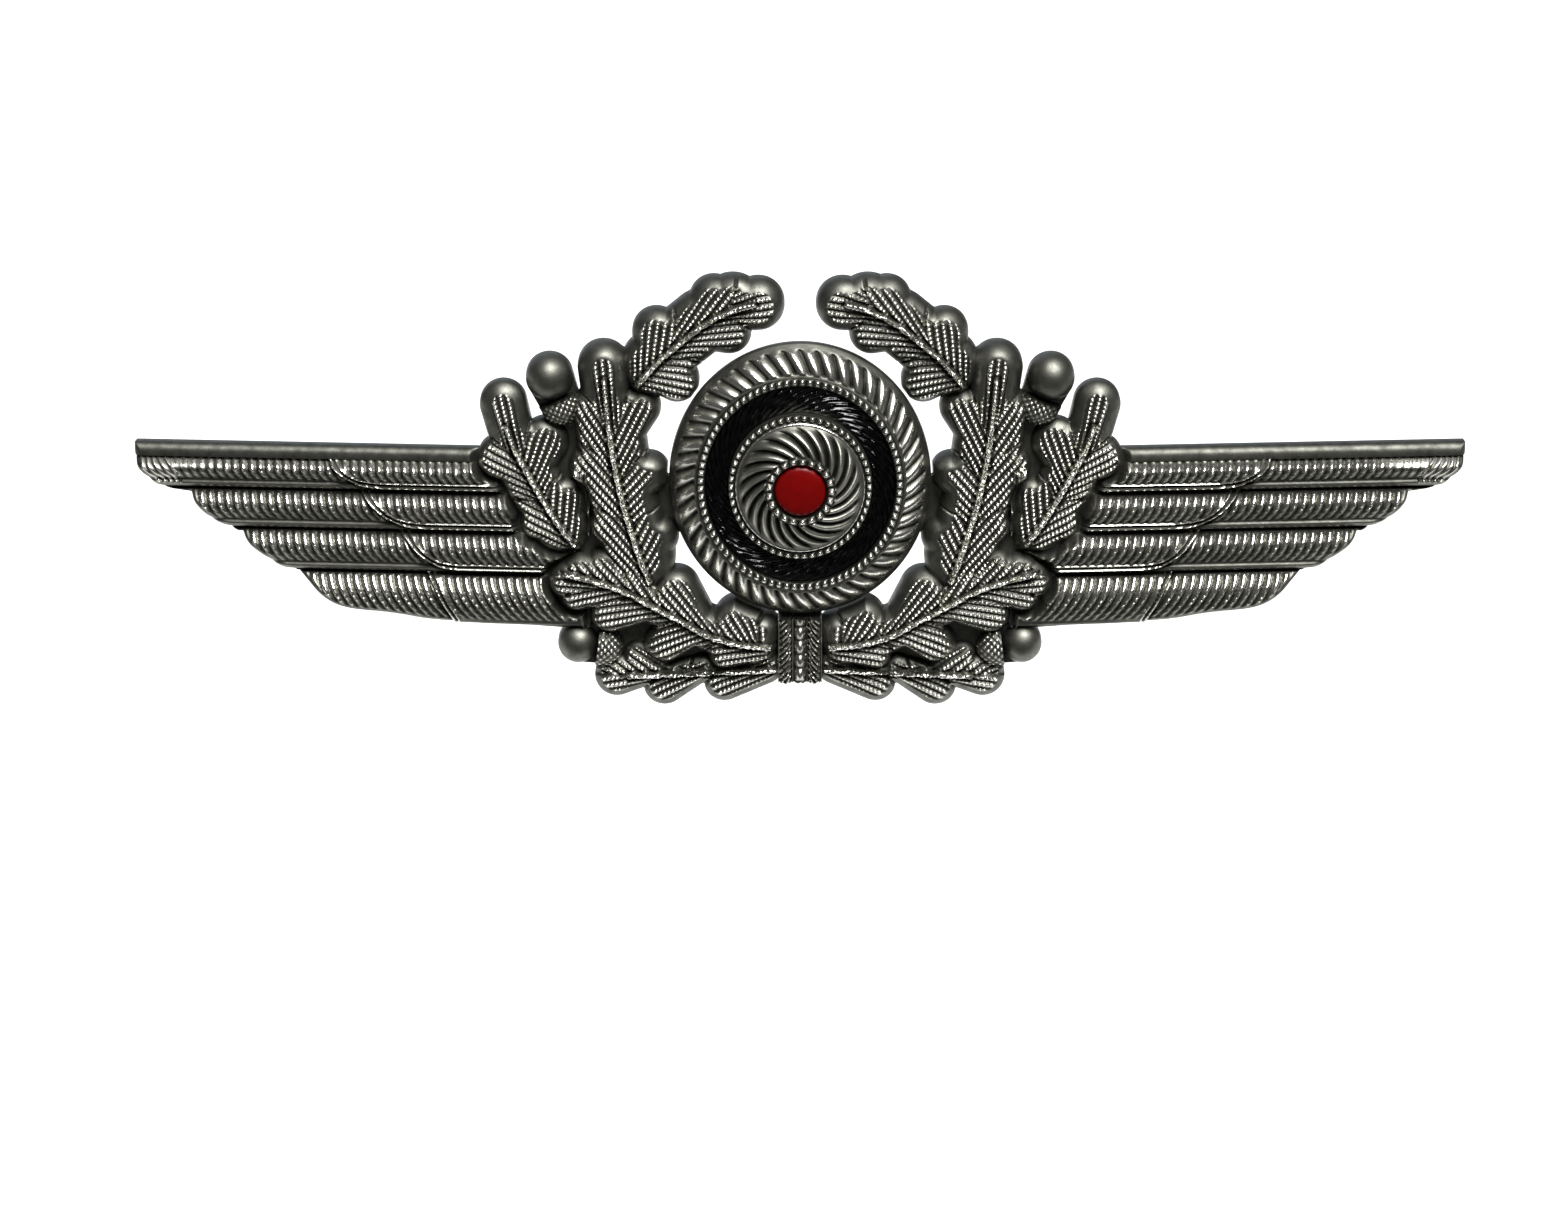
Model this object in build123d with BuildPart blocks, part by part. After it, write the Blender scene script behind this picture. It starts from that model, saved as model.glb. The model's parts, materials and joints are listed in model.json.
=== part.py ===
from build123d import *
import os
from math import cos, radians, sin

# A winged oak-leaf wreath badge with a round cockade, fastened by bendable split pins.
# Millimetres, upright: +X to the wearer's left, +Z up, the front faces -Y.
# The origin is the cockade's centre on the back plane, where its split pin leaves the badge.
# Depth means distance in front of the back plane, towards -Y.

# ---- driving dimensions ----
BACK = Plane.XZ                # local x is X, local y is Z, and its normal points to the front
POCKET_DEPTH = 0.9             # hollow in the back of the stamped metal
POCKET_RIM = 1.1               # width of the rim left around the hollow
LOBE_ROOT = 1.3                # radius of a leaf lobe where it leaves the midrib
LOBE_ROUND = 0.75              # rounding of a lobe's top edge
LOBE_STAGGER = 0.04            # each lobe is this much lower and narrower than the one before it
RIB_RADIUS = 0.34              # half width of a leaf's midrib
RIB_RISE = 0.45                # how far a midrib stands above its leaf
RIB_ROUND = 0.2
POCKET_ROOT_RADIUS = 0.5       # half width of the hollow behind a lobe's root
THROUGH = 10                   # height of a cutter that clears the whole front
CORE_DEPTH = 1.1               # sheet that joins the leaves behind their lobes

WING_SWEEP = 4.5               # degrees each wing leans back from its root
WING_ROOT = 29.4               # X of the line that a wing leans back about
FEATHER_DEPTH = 1.35
COVERT_DEPTH = 1.8
FEATHER_ROUND = 0.45           # drop of the bevel along a feather's long edges
FEATHER_BEVEL = 0.9
SHAFT_RADIUS = 0.3             # raised shaft along the lower side of each feather
SHAFT_RISE = 0.2
SHAFT_ROUND = 0.2

COCKADE_RADIUS = 11.9
COCKADE_CLEARANCE = 0.15       # air between the cockade's edge and the leaves around it
SEAT_DEPTH = 1.0               # ring of the wreath that carries the cockade
SEAT_RADIUS = 11.2
SEAT_HOLE = 4.2
BACK_PLATE_DEPTH = 0.5
BEAD_ROW_RADIUS = 9.0          # centre line of the beaded row inside the fluted rim
BEAD_RADIUS = 0.4
RIM_EDGE_DEPTH = 2.2
RIM_TOP_DEPTH = 4.4
RIM_FLUTES = 46
RIM_TURN = 8                   # degrees a rim flute turns clockwise on its way in
GROOVE_RADIUS = 0.3            # grooves between the flutes
GROOVE_OVERRUN = 0.1
BOSS_RADIUS = 6.5
BOSS_ROW_RADIUS = 6.2
BOSS_EDGE_DEPTH = 4.9
BOSS_TOP_DEPTH = 6.6
BOSS_FLUTES = 21
BOSS_TURN = 32
CENTRE_RADIUS = 2.35
CENTRE_DEPTH = 6.8
FIT_GAP = 0.05                 # air around pieces that drop into one another

LEG_WIDTH = 2.4                # split pins are cut from flat strip
LEG_THICKNESS = 0.5
LEG_LENGTH = 11.5
LEG_TIP_LENGTH = 1.6           # the leg narrows over this length
LEG_TIP_WIDTH = 0.96
LEG_SPACING = 0.8              # between the centre planes of a pin's two legs
LEG_GAP = 0.02                 # air between a leg's round root and its stub
BEND_BACK = 2.5                # how far behind the back plane the legs bend
FOOT_LENGTH = 4.8
FOOT_THICKNESS = 0.4
SOLDER_MARGIN = 0.8
SOLDER_THICKNESS = 0.3
WING_PIN_X = -37.5
WING_PIN_Z = -5.2

# Left-hand leaves: overall depth, midrib points, then lobes as (tip, radius, root) in X, Z.
LEAVES = {
    "bottom_outer": (
        3.0,
        [(-2.3, -15.7), (-7.1, -15.0), (-10.9, -13.1), (-16.7, -10.0), (-20.6, -8.8)],
        [
            ((-5.5, -13.6), 2.4, (-4.4, -15.4)),
            ((-11.3, -10.7), 2.2, (-8.7, -13.9)),
            ((-15.1, -9.4), 1.6, (-13.7, -11.5)),
            ((-17.9, -8.3), 1.7, (-15.9, -10.4)),
            ((-21.0, -9.6), 1.9, (-18.2, -9.8)),
            ((-20.3, -10.9), 1.7, (-17.3, -10.2)),
            ((-17.4, -12.8), 1.9, (-13.2, -12.0)),
            ((-12.4, -15.6), 1.9, (-9.1, -14.2)),
            ((-6.9, -16.6), 1.5, (-3.4, -16.0)),
        ],
    ),
    "bottom_inner": (
        2.2,
        [(-2.3, -18.0), (-16.4, -18.6)],
        [
            ((-6.9, -19.4), 1.9, (-3.3, -17.9)),
            ((-12.4, -19.7), 1.95, (-8.9, -18.0)),
            ((-16.8, -18.8), 2.0, (-13.2, -18.2)),
            ((-14.9, -16.8), 1.3, (-13.2, -17.9)),
        ],
    ),
    "inner": (
        3.2,
        [(-13.7, -9.4), (-15.1, -5.4), (-16.2, -1.6), (-17.2, 5.0), (-17.7, 10.6)],
        [
            ((-17.8, 10.3), 2.35, (-17.3, 5.7)),
            ((-19.0, 6.1), 1.75, (-16.9, 2.9)),
            ((-19.3, 1.2), 1.75, (-16.2, -2.3)),
            ((-17.5, -4.5), 1.75, (-14.8, -7.6)),
            ((-14.5, 6.5), 1.9, (-16.8, 1.9)),
            ((-13.7, 0.4), 1.85, (-16.2, -2.3)),
            ((-13.0, -5.5), 2.0, (-14.6, -8.5)),
        ],
    ),
    "top": (
        3.1,
        [(-14.8, 8.8), (-11.7, 12.1), (-8.9, 14.4), (-4.0, 16.6)],
        [
            ((-3.8, 16.1), 2.4, (-5.9, 15.8)),
            ((-7.8, 16.4), 2.25, (-10.6, 12.8)),
            ((-13.0, 13.5), 2.2, (-13.5, 9.9)),
            ((-6.4, 13.5), 2.0, (-9.6, 13.3)),
            ((-11.1, 9.0), 2.0, (-13.7, 9.6)),
        ],
    ),
    "outer": (
        2.6,
        [(-19.8, -7.1), (-23.5, -1.7), (-25.7, 2.5), (-27.4, 6.9)],
        [
            ((-26.9, 6.8), 2.15, (-26.0, 3.2)),
            ((-27.3, 1.8), 2.0, (-24.1, -1.1)),
            ((-23.7, -4.1), 1.85, (-21.0, -6.3)),
            ((-23.1, 3.3), 2.2, (-24.4, -0.1)),
            ((-21.1, -2.0), 1.85, (-21.4, -5.3)),
        ],
    ),
}
# Acorns: nut centre, nut radius, cup centre, cup radius, depth of the acorn's axis.
ACORNS = [
    ((-22.7, 9.3), 2.15, (-21.6, 6.6), 1.8, 1.3),
    ((-20.3, -15.7), 1.85, (-17.8, -16.0), 1.75, 1.3),
]
# Sheet behind the leaves: each run is a list of X, Z points with a half width.
CORE_RUNS = [
    (
        1.9,
        [
            (-2.0, -16.8),
            (-9.0, -16.6),
            (-15.0, -13.2),
            (-18.0, -9.5),
            (-20.6, -4.5),
            (-21.2, 0.5),
            (-20.9, 5.5),
        ],
    ),
    (1.7, [(-16.0, -9.0), (-15.6, -3.0), (-16.9, 4.0), (-15.2, 9.4), (-12.2, 12.0), (-7.0, 15.4)]),
]
SEAT_TABS = [((-14.5, -2.6), (-10.2, -2.6), 2.6)]

# Feather tips of a main feather, from its upper to its lower edge, in wing X, Z.
FEATHER_TOP = 2.6
FEATHERS = [
    [(-60.7, 2.6), (-60.2, 0.2), (-58.8, -1.4), (-57.1, -2.5), (-55.2, -2.8)],
    [(-56.2, -1.2), (-53.7, -4.4), (-51.4, -5.8), (-50.4, -6.2)],
    [(-51.6, -4.9), (-50.6, -6.4), (-49.0, -7.8), (-47.3, -9.1), (-45.4, -9.7)],
    [
        (-46.4, -8.8),
        (-44.9, -10.3),
        (-43.2, -11.9),
        (-41.2, -12.7),
        (-37.5, -13.1),
        (-32.2, -13.8),
        (-21.8, -14.1),
    ],
]
FEATHER_LINES = [-1.4, -5.1, -9.0, -13.0]
COVERTS = [
    [(-43.2, 2.6), (-42.7, 1.2), (-41.5, -0.2), (-39.9, -1.3)],
    [(-40.2, -1.3), (-39.3, -2.3), (-37.5, -4.1), (-35.6, -5.0)],
    [(-36.8, -5.0), (-35.9, -6.2), (-34.3, -7.8), (-32.7, -8.9)],
    [(-34.2, -8.9), (-33.4, -10.2), (-32.4, -12.2), (-31.8, -13.2)],
]
WING_ROOT_EDGE = -21.2
WING_SPAN = 60.0               # longer than any feather
SHAFT_START = 1.5              # how far inside a feather's tip its shaft begins
COVERT_SHAFT_START = 0.5
WING_POCKET_DEPTH = 0.7
WING_POCKET = [
    (-21.0, 1.4),
    (-58.4, 1.4),
    (-55.5, -1.3),
    (-51.8, -3.8),
    (-48.3, -6.8),
    (-44.6, -9.4),
    (-40.6, -11.4),
    (-21.0, -12.4),
]


def wing_plane(side):
    """Back plane of a wing; local x and y are X and Z before the wing leans back."""
    lean = radians(WING_SWEEP)
    origin = (side * WING_ROOT * (1 - cos(lean)), -WING_ROOT * sin(lean), 0)
    return Plane(origin, x_dir=(cos(lean), side * sin(lean), 0), z_dir=(side * sin(lean), -cos(lean), 0))


def capsule(start, start_radius, end, end_radius, depth, rounding=0.0, plane=BACK):
    """Upright slab whose outline wraps two circles, with a rounded top edge."""
    with BuildPart() as slab:
        with BuildSketch(plane) as outline:
            with Locations(start):
                Circle(start_radius)
            with Locations(end):
                Circle(end_radius)
            make_hull()
        extrude(amount=depth)
        if rounding:
            top = slab.faces().sort_by(Axis(plane.origin, plane.z_dir))[-1]
            fillet(top.edges(), rounding)
    return slab.part


def run(points, radius, depth, rounding=0.0):
    """Capsules end to end along a list of points."""
    return [capsule(a, radius, b, radius, depth, rounding) for a, b in zip(points, points[1:])]


def leaf_solids(name):
    depth, midrib, lobes = LEAVES[name]
    solids = []
    for index, (tip, radius, root) in enumerate(lobes):
        lobe_depth = depth - LOBE_STAGGER * index
        solids.append(capsule(tip, radius, root, LOBE_ROOT - LOBE_STAGGER * index, lobe_depth, LOBE_ROUND))
    solids += run(midrib, RIB_RADIUS, depth + RIB_RISE, RIB_ROUND)
    return solids


def outline_slabs(depth):
    """Plain slabs with the leaves' outlines, for cutting the wings to the wreath."""
    slabs = []
    for _, _, lobes in LEAVES.values():
        slabs += [capsule(tip, radius, root, LOBE_ROOT, depth) for tip, radius, root in lobes]
    for radius, points in CORE_RUNS:
        slabs += run(points, radius, depth)
    return slabs


def acorn_slabs(depth):
    slabs = []
    for nut, nut_radius, cup, cup_radius, _ in ACORNS:
        slabs.append(capsule(nut, nut_radius, cup, cup_radius, depth))
    return slabs


def pocket_slabs():
    slabs = []
    for _, _, lobes in LEAVES.values():
        for tip, radius, root in lobes:
            slabs.append(capsule(tip, radius - POCKET_RIM, root, POCKET_ROOT_RADIUS, POCKET_DEPTH))
    return slabs


# ---- wreath ----
# One half is built on the left and mirrored; the binding and the cockade's seat join the halves.
BINDING_HALF_WIDTH = 2.0
BINDING_TOP = -12.6
BINDING_BOTTOM = -19.7
BINDING_DEPTH = 2.3
BAND_RADIUS = 0.62
BAND_X = 1.32
STRAP_LENGTH = 6.0             # strap that ties the binding to the cockade's seat

leaf_parts = [solid for name in LEAVES for solid in leaf_solids(name)]
core_parts = [solid for radius, points in CORE_RUNS for solid in run(points, radius, CORE_DEPTH)]
tab_parts = [capsule(a, radius, b, radius, SEAT_DEPTH) for a, b, radius in SEAT_TABS]
pocket_parts = pocket_slabs()

with BuildPart() as branch:
    for solid in leaf_parts + core_parts:
        add(solid)
    for nut, nut_radius, cup, cup_radius, axis_depth in ACORNS:
        with Locations(BACK.offset(axis_depth)):
            with Locations((nut[0], nut[1], 0)):
                Sphere(nut_radius)
            with Locations((cup[0], cup[1], 0)):
                Sphere(cup_radius)
    for solid in pocket_parts:
        add(solid, mode=Mode.SUBTRACT)
    split(bisect_by=BACK, keep=Keep.TOP)

with BuildPart() as wreath:
    add(branch.part)
    mirror(branch.part, about=Plane.YZ)
    with BuildSketch(BACK):
        Circle(COCKADE_RADIUS + COCKADE_CLEARANCE)
    extrude(amount=THROUGH, mode=Mode.SUBTRACT)
    with BuildSketch(BACK):
        Circle(SEAT_RADIUS)
    extrude(amount=SEAT_DEPTH)
    for solid in tab_parts:
        add(solid)
        mirror(solid, about=Plane.YZ)
    with BuildSketch(BACK):
        Circle(SEAT_HOLE)
    extrude(amount=SEAT_DEPTH, mode=Mode.SUBTRACT)
    with BuildSketch(BACK):
        with Locations((0, (BINDING_TOP + BINDING_BOTTOM) / 2)):
            Rectangle(2 * BINDING_HALF_WIDTH, BINDING_TOP - BINDING_BOTTOM)
        with Locations((0, BINDING_TOP)):
            Rectangle(2 * BINDING_HALF_WIDTH, STRAP_LENGTH)
    extrude(amount=SEAT_DEPTH)
    with BuildSketch(BACK):
        with Locations((0, (BINDING_TOP + BINDING_BOTTOM) / 2)):
            Rectangle(2 * BINDING_HALF_WIDTH, BINDING_TOP - BINDING_BOTTOM)
    extrude(amount=BINDING_DEPTH)
    with BuildSketch(Plane.XY.offset(BINDING_BOTTOM)):
        for x in (-BAND_X, 0, BAND_X):
            with Locations((x, -BINDING_DEPTH)):
                Circle(BAND_RADIUS)
    extrude(amount=BINDING_TOP - BINDING_BOTTOM)

wreath.part.label = "wreath"

# ---- wings ----
left_plane = wing_plane(-1)
wing_cutters = outline_slabs(THROUGH) + acorn_slabs(THROUGH)


def feather(tips, upper_line, depth):
    """Blade from the wing's root to a curved tip, with bevels along its two long edges."""
    lower_line = tips[-1][1]
    section_plane = Plane(
        left_plane.from_local_coords((WING_ROOT_EDGE, 0, 0)), x_dir=left_plane.y_dir, z_dir=left_plane.x_dir
    )
    wall = depth - FEATHER_ROUND
    with BuildPart() as blade:
        with BuildSketch(left_plane):
            with BuildLine():
                Spline(*tips)
                Polyline(
                    tips[-1],
                    (WING_ROOT_EDGE, lower_line),
                    (WING_ROOT_EDGE, upper_line),
                    (tips[0][0], upper_line),
                )
                if tips[0][1] < upper_line:
                    Line((tips[0][0], upper_line), tips[0])
            make_face()
        extrude(amount=depth)
        with BuildSketch(section_plane):
            with BuildLine():
                Polyline(
                    (lower_line, 0),
                    (upper_line, 0),
                    (upper_line, wall),
                    (upper_line - FEATHER_BEVEL, depth),
                    (lower_line + FEATHER_BEVEL, depth),
                    (lower_line, wall),
                    close=True,
                )
            make_face()
        extrude(amount=-WING_SPAN, mode=Mode.INTERSECT)
    return blade.part


UPPER_LINES = [FEATHER_TOP, -1.2, -4.9, -8.8]
feather_parts = [feather(tips, line, FEATHER_DEPTH) for tips, line in zip(FEATHERS, UPPER_LINES)]
feather_parts += [feather(tips, line, COVERT_DEPTH) for tips, line in zip(COVERTS, UPPER_LINES)]
for tips, covert, line in zip(FEATHERS, COVERTS, FEATHER_LINES):
    outer_end = (tips[-1][0] + SHAFT_START, line)
    step = (covert[-1][0] + COVERT_SHAFT_START, line)
    root_end = (WING_ROOT_EDGE, line)
    for start, end, depth in ((outer_end, step, FEATHER_DEPTH), (step, root_end, COVERT_DEPTH)):
        top = depth + SHAFT_RISE
        feather_parts.append(capsule(start, SHAFT_RADIUS, end, SHAFT_RADIUS, top, SHAFT_ROUND, left_plane))

with BuildPart() as left_wing_with_scraps:
    for solid in feather_parts:
        add(solid)
    with BuildSketch(left_plane):
        with BuildLine():
            Polyline(*WING_POCKET, close=True)
        make_face()
    extrude(amount=WING_POCKET_DEPTH, mode=Mode.SUBTRACT)
    for solid in wing_cutters:
        add(solid, mode=Mode.SUBTRACT)

# Cutting the wing to the leaves leaves scraps between them, so only its largest solid is kept.
with BuildPart() as left_wing:
    add(left_wing_with_scraps.solids().sort_by(SortBy.VOLUME)[-1])

with BuildPart() as right_wing:
    mirror(left_wing.part, about=Plane.YZ)

left_wing.part.label = "left_wing"
right_wing.part.label = "right_wing"

# ---- cockade ----
# Each ring is a turned profile of (radius, -depth) points about the Y axis.
PLATE_FRONT = SEAT_DEPTH + BACK_PLATE_DEPTH

BACK_PLATE_RADIUS = COCKADE_RADIUS - 0.6

with BuildPart() as cockade_back_plate:
    with BuildSketch(BACK.offset(SEAT_DEPTH)):
        Circle(BACK_PLATE_RADIUS)
    extrude(amount=BACK_PLATE_DEPTH)


def slanted_groove(outer, inner, turn, radius):
    """Round cutter from an outer to an inner (radius, depth) point, turned clockwise on the way in."""
    start = Vector(outer[0], 0, outer[1])
    end = Vector(inner[0] * cos(radians(turn)), -inner[0] * sin(radians(turn)), inner[1])
    with BuildPart() as cutter:
        with BuildSketch(Plane(start, z_dir=end - start)):
            Circle(radius)
        extrude(amount=(end - start).length)
    return cutter.part


RIM_INNER = BEAD_ROW_RADIUS - BEAD_RADIUS
RIM_SHOULDER = BEAD_ROW_RADIUS + BEAD_RADIUS
rim_groove = slanted_groove(
    (COCKADE_RADIUS + GROOVE_OVERRUN, RIM_EDGE_DEPTH),
    (RIM_SHOULDER + 2 * GROOVE_OVERRUN, RIM_TOP_DEPTH),
    RIM_TURN,
    GROOVE_RADIUS,
)

with BuildPart() as cockade_rim:
    with BuildSketch(Plane.XY):
        with BuildLine():
            Polyline(
                (RIM_SHOULDER, -RIM_TOP_DEPTH),
                (COCKADE_RADIUS, -RIM_EDGE_DEPTH),
                (COCKADE_RADIUS, -PLATE_FRONT),
                (RIM_INNER, -PLATE_FRONT),
                (RIM_INNER, -RIM_TOP_DEPTH),
            )
            ThreePointArc(
                (RIM_INNER, -RIM_TOP_DEPTH),
                (BEAD_ROW_RADIUS, -RIM_TOP_DEPTH - BEAD_RADIUS),
                (RIM_SHOULDER, -RIM_TOP_DEPTH),
            )
        make_face()
    revolve(axis=Axis.Y)
    with Locations(BACK):
        with PolarLocations(0, RIM_FLUTES):
            add(rim_groove, mode=Mode.SUBTRACT)

LACQUER_OUTER = RIM_INNER - FIT_GAP
LACQUER_INNER = BOSS_RADIUS + FIT_GAP
LACQUER_DEPTH = 4.1
LACQUER_CROWN = 0.25

with BuildPart() as cockade_black_ring:
    with BuildSketch(Plane.XY):
        with BuildLine():
            Polyline(
                (LACQUER_OUTER, -LACQUER_DEPTH),
                (LACQUER_OUTER, -PLATE_FRONT),
                (LACQUER_INNER, -PLATE_FRONT),
                (LACQUER_INNER, -LACQUER_DEPTH),
            )
            ThreePointArc(
                (LACQUER_INNER, -LACQUER_DEPTH),
                ((LACQUER_INNER + LACQUER_OUTER) / 2, -LACQUER_DEPTH - LACQUER_CROWN),
                (LACQUER_OUTER, -LACQUER_DEPTH),
            )
        make_face()
    revolve(axis=Axis.Y)

BOSS_ROW_BEAD = BOSS_RADIUS - BOSS_ROW_RADIUS
BOSS_SHOULDER = BOSS_ROW_RADIUS - BOSS_ROW_BEAD
CENTRE_FLOOR = CENTRE_DEPTH - 1.0
CENTRE_ROW_OUTER = 3.15
CENTRE_ROW_INNER = CENTRE_RADIUS + FIT_GAP
CENTRE_ROW_CROWN = 0.3
BOSS_DROP = 0.1                # the flutes start this much behind the row around the centre
BOSS_MIDDLE_DROP = 0.55        # and are this far behind it half-way out
CENTRE_ROUND = 0.2
boss_groove = slanted_groove(
    (BOSS_SHOULDER - 3 * GROOVE_OVERRUN, BOSS_EDGE_DEPTH),
    (CENTRE_ROW_OUTER + GROOVE_OVERRUN, BOSS_TOP_DEPTH - 2 * BOSS_DROP),
    BOSS_TURN,
    GROOVE_RADIUS,
)

with BuildPart() as cockade_boss:
    with BuildSketch(Plane.XY):
        with BuildLine():
            Polyline((BOSS_RADIUS, -BOSS_EDGE_DEPTH), (BOSS_RADIUS, -PLATE_FRONT), (0, -PLATE_FRONT))
            Polyline(
                (0, -PLATE_FRONT),
                (0, -CENTRE_FLOOR),
                (CENTRE_ROW_INNER, -CENTRE_FLOOR),
                (CENTRE_ROW_INNER, -BOSS_TOP_DEPTH),
            )
            ThreePointArc(
                (CENTRE_ROW_INNER, -BOSS_TOP_DEPTH),
                ((CENTRE_ROW_INNER + CENTRE_ROW_OUTER) / 2, -BOSS_TOP_DEPTH - CENTRE_ROW_CROWN),
                (CENTRE_ROW_OUTER, -BOSS_TOP_DEPTH + BOSS_DROP),
            )
            ThreePointArc(
                (CENTRE_ROW_OUTER, -BOSS_TOP_DEPTH + BOSS_DROP),
                ((CENTRE_ROW_OUTER + BOSS_SHOULDER) / 2, -BOSS_TOP_DEPTH + BOSS_MIDDLE_DROP),
                (BOSS_SHOULDER, -BOSS_EDGE_DEPTH),
            )
            ThreePointArc(
                (BOSS_SHOULDER, -BOSS_EDGE_DEPTH),
                (BOSS_ROW_RADIUS, -BOSS_EDGE_DEPTH - BOSS_ROW_BEAD),
                (BOSS_RADIUS, -BOSS_EDGE_DEPTH),
            )
        make_face()
    revolve(axis=Axis.Y)
    with Locations(BACK):
        with PolarLocations(0, BOSS_FLUTES):
            add(boss_groove, mode=Mode.SUBTRACT)

with BuildPart() as cockade_red_centre:
    with BuildSketch(BACK.offset(CENTRE_FLOOR)):
        Circle(CENTRE_RADIUS)
    extrude(amount=CENTRE_DEPTH - CENTRE_FLOOR)
    fillet(cockade_red_centre.faces().sort_by(Axis.Y)[0].edges(), CENTRE_ROUND)

cockade_back_plate.part.label = "cockade_back_plate"
cockade_rim.part.label = "cockade_rim"
cockade_black_ring.part.label = "cockade_black_ring"
cockade_boss.part.label = "cockade_boss"
cockade_red_centre.part.label = "cockade_red_centre"

# ---- split pins ----
# A pin plane's z points backwards, its x runs across the strip and its y is the way the legs spread.


def pin_plane_on_wing(side):
    wing = wing_plane(side)
    seat = wing.from_local_coords((-side * WING_PIN_X, WING_PIN_Z, 0))
    return Plane(seat, x_dir=(0, 0, 1), z_dir=-wing.z_dir)


def pin_foot(plane, seat_depth):
    with BuildPart() as foot:
        with BuildSketch(plane.offset(-seat_depth)):
            Rectangle(LEG_WIDTH, FOOT_LENGTH)
        extrude(amount=FOOT_THICKNESS)
        with BuildSketch(plane.offset(-seat_depth)):
            with GridLocations(0, LEG_SPACING, 1, 2):
                Rectangle(LEG_WIDTH, LEG_THICKNESS)
        extrude(amount=seat_depth + BEND_BACK - LEG_THICKNESS / 2 - LEG_GAP)
    return foot.part


def pin_solder(plane, seat_depth, foot):
    with BuildPart() as pad:
        with BuildSketch(plane.offset(-seat_depth)):
            Rectangle(LEG_WIDTH + 2 * SOLDER_MARGIN, FOOT_LENGTH + 2 * SOLDER_MARGIN)
        extrude(amount=SOLDER_THICKNESS, taper=45)
        add(foot, mode=Mode.SUBTRACT)
    return pad.part


def pin_leg(plane, spread):
    """Leg on one side of its pin, straight back, with a round root on the line that it bends about."""
    middle_origin = plane.from_local_coords((0, spread * LEG_SPACING / 2, 0))
    middle = Plane(middle_origin, x_dir=plane.x_dir, z_dir=-plane.y_dir)
    half = LEG_WIDTH / 2
    tip = BEND_BACK + LEG_LENGTH
    shoulder = tip - LEG_TIP_LENGTH
    with BuildPart() as leg:
        with BuildSketch(middle):
            with BuildLine():
                Polyline(
                    (-half, BEND_BACK),
                    (half, BEND_BACK),
                    (half, shoulder),
                    (LEG_TIP_WIDTH / 2, tip),
                    (-LEG_TIP_WIDTH / 2, tip),
                    (-half, shoulder),
                    close=True,
                )
            make_face()
        extrude(amount=LEG_THICKNESS / 2, both=True)
        root_centre = middle.from_local_coords((-half, BEND_BACK, 0))
        with BuildSketch(Plane(root_centre, x_dir=middle.y_dir, z_dir=middle.x_dir)):
            Circle(LEG_THICKNESS / 2)
        extrude(amount=LEG_WIDTH)
    return leg.part


COCKADE_PIN = Plane((0, 0, 0), x_dir=(-1, 0, 0), z_dir=(0, 1, 0))
PINS = {
    "cockade": (COCKADE_PIN, SEAT_DEPTH, ("lower", "upper")),
    "left_wing": (pin_plane_on_wing(-1), WING_POCKET_DEPTH, ("outer", "inner")),
    "right_wing": (pin_plane_on_wing(1), WING_POCKET_DEPTH, ("inner", "outer")),
}
pieces = [
    wreath.part,
    left_wing.part,
    right_wing.part,
    cockade_back_plate.part,
    cockade_rim.part,
    cockade_black_ring.part,
    cockade_boss.part,
    cockade_red_centre.part,
]
for owner, (plane, seat_depth, leg_names) in PINS.items():
    foot = pin_foot(plane, seat_depth)
    foot.label = owner + "_pin_foot"
    solder = pin_solder(plane, seat_depth, foot)
    solder.label = owner + "_pin_solder"
    pieces += [foot, solder]
    for leg_name, spread in zip(leg_names, (-1, 1)):
        leg = pin_leg(plane, spread)
        leg.label = owner + "_pin_" + leg_name + "_leg"
        pieces.append(leg)

os.makedirs("parts", exist_ok=True)
for piece in pieces:
    export_step(piece, "parts/" + piece.label + ".step")
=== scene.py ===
import json
import math

import bpy
import numpy as np
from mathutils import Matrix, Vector


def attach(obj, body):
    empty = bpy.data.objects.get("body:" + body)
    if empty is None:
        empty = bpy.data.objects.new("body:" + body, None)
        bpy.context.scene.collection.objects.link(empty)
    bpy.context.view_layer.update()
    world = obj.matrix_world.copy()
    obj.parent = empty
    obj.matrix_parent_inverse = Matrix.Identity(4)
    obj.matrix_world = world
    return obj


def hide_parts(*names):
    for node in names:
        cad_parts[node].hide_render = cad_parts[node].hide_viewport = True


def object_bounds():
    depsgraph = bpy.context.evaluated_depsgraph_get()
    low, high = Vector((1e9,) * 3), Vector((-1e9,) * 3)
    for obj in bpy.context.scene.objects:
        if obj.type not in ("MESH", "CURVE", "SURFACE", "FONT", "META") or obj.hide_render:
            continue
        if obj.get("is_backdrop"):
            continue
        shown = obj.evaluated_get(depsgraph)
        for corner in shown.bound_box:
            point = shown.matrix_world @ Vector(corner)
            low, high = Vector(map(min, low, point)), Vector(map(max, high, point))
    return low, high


# Looks of a winged oak-leaf wreath badge with a round cockade. Sizes below are millimetres in the
# row's frame: plane points are (X, Z), and depth is how far in front of the back plane, towards -Y.
# A relief is a sheet of plane points whose depth comes from a formula, with walls to the back.

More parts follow.
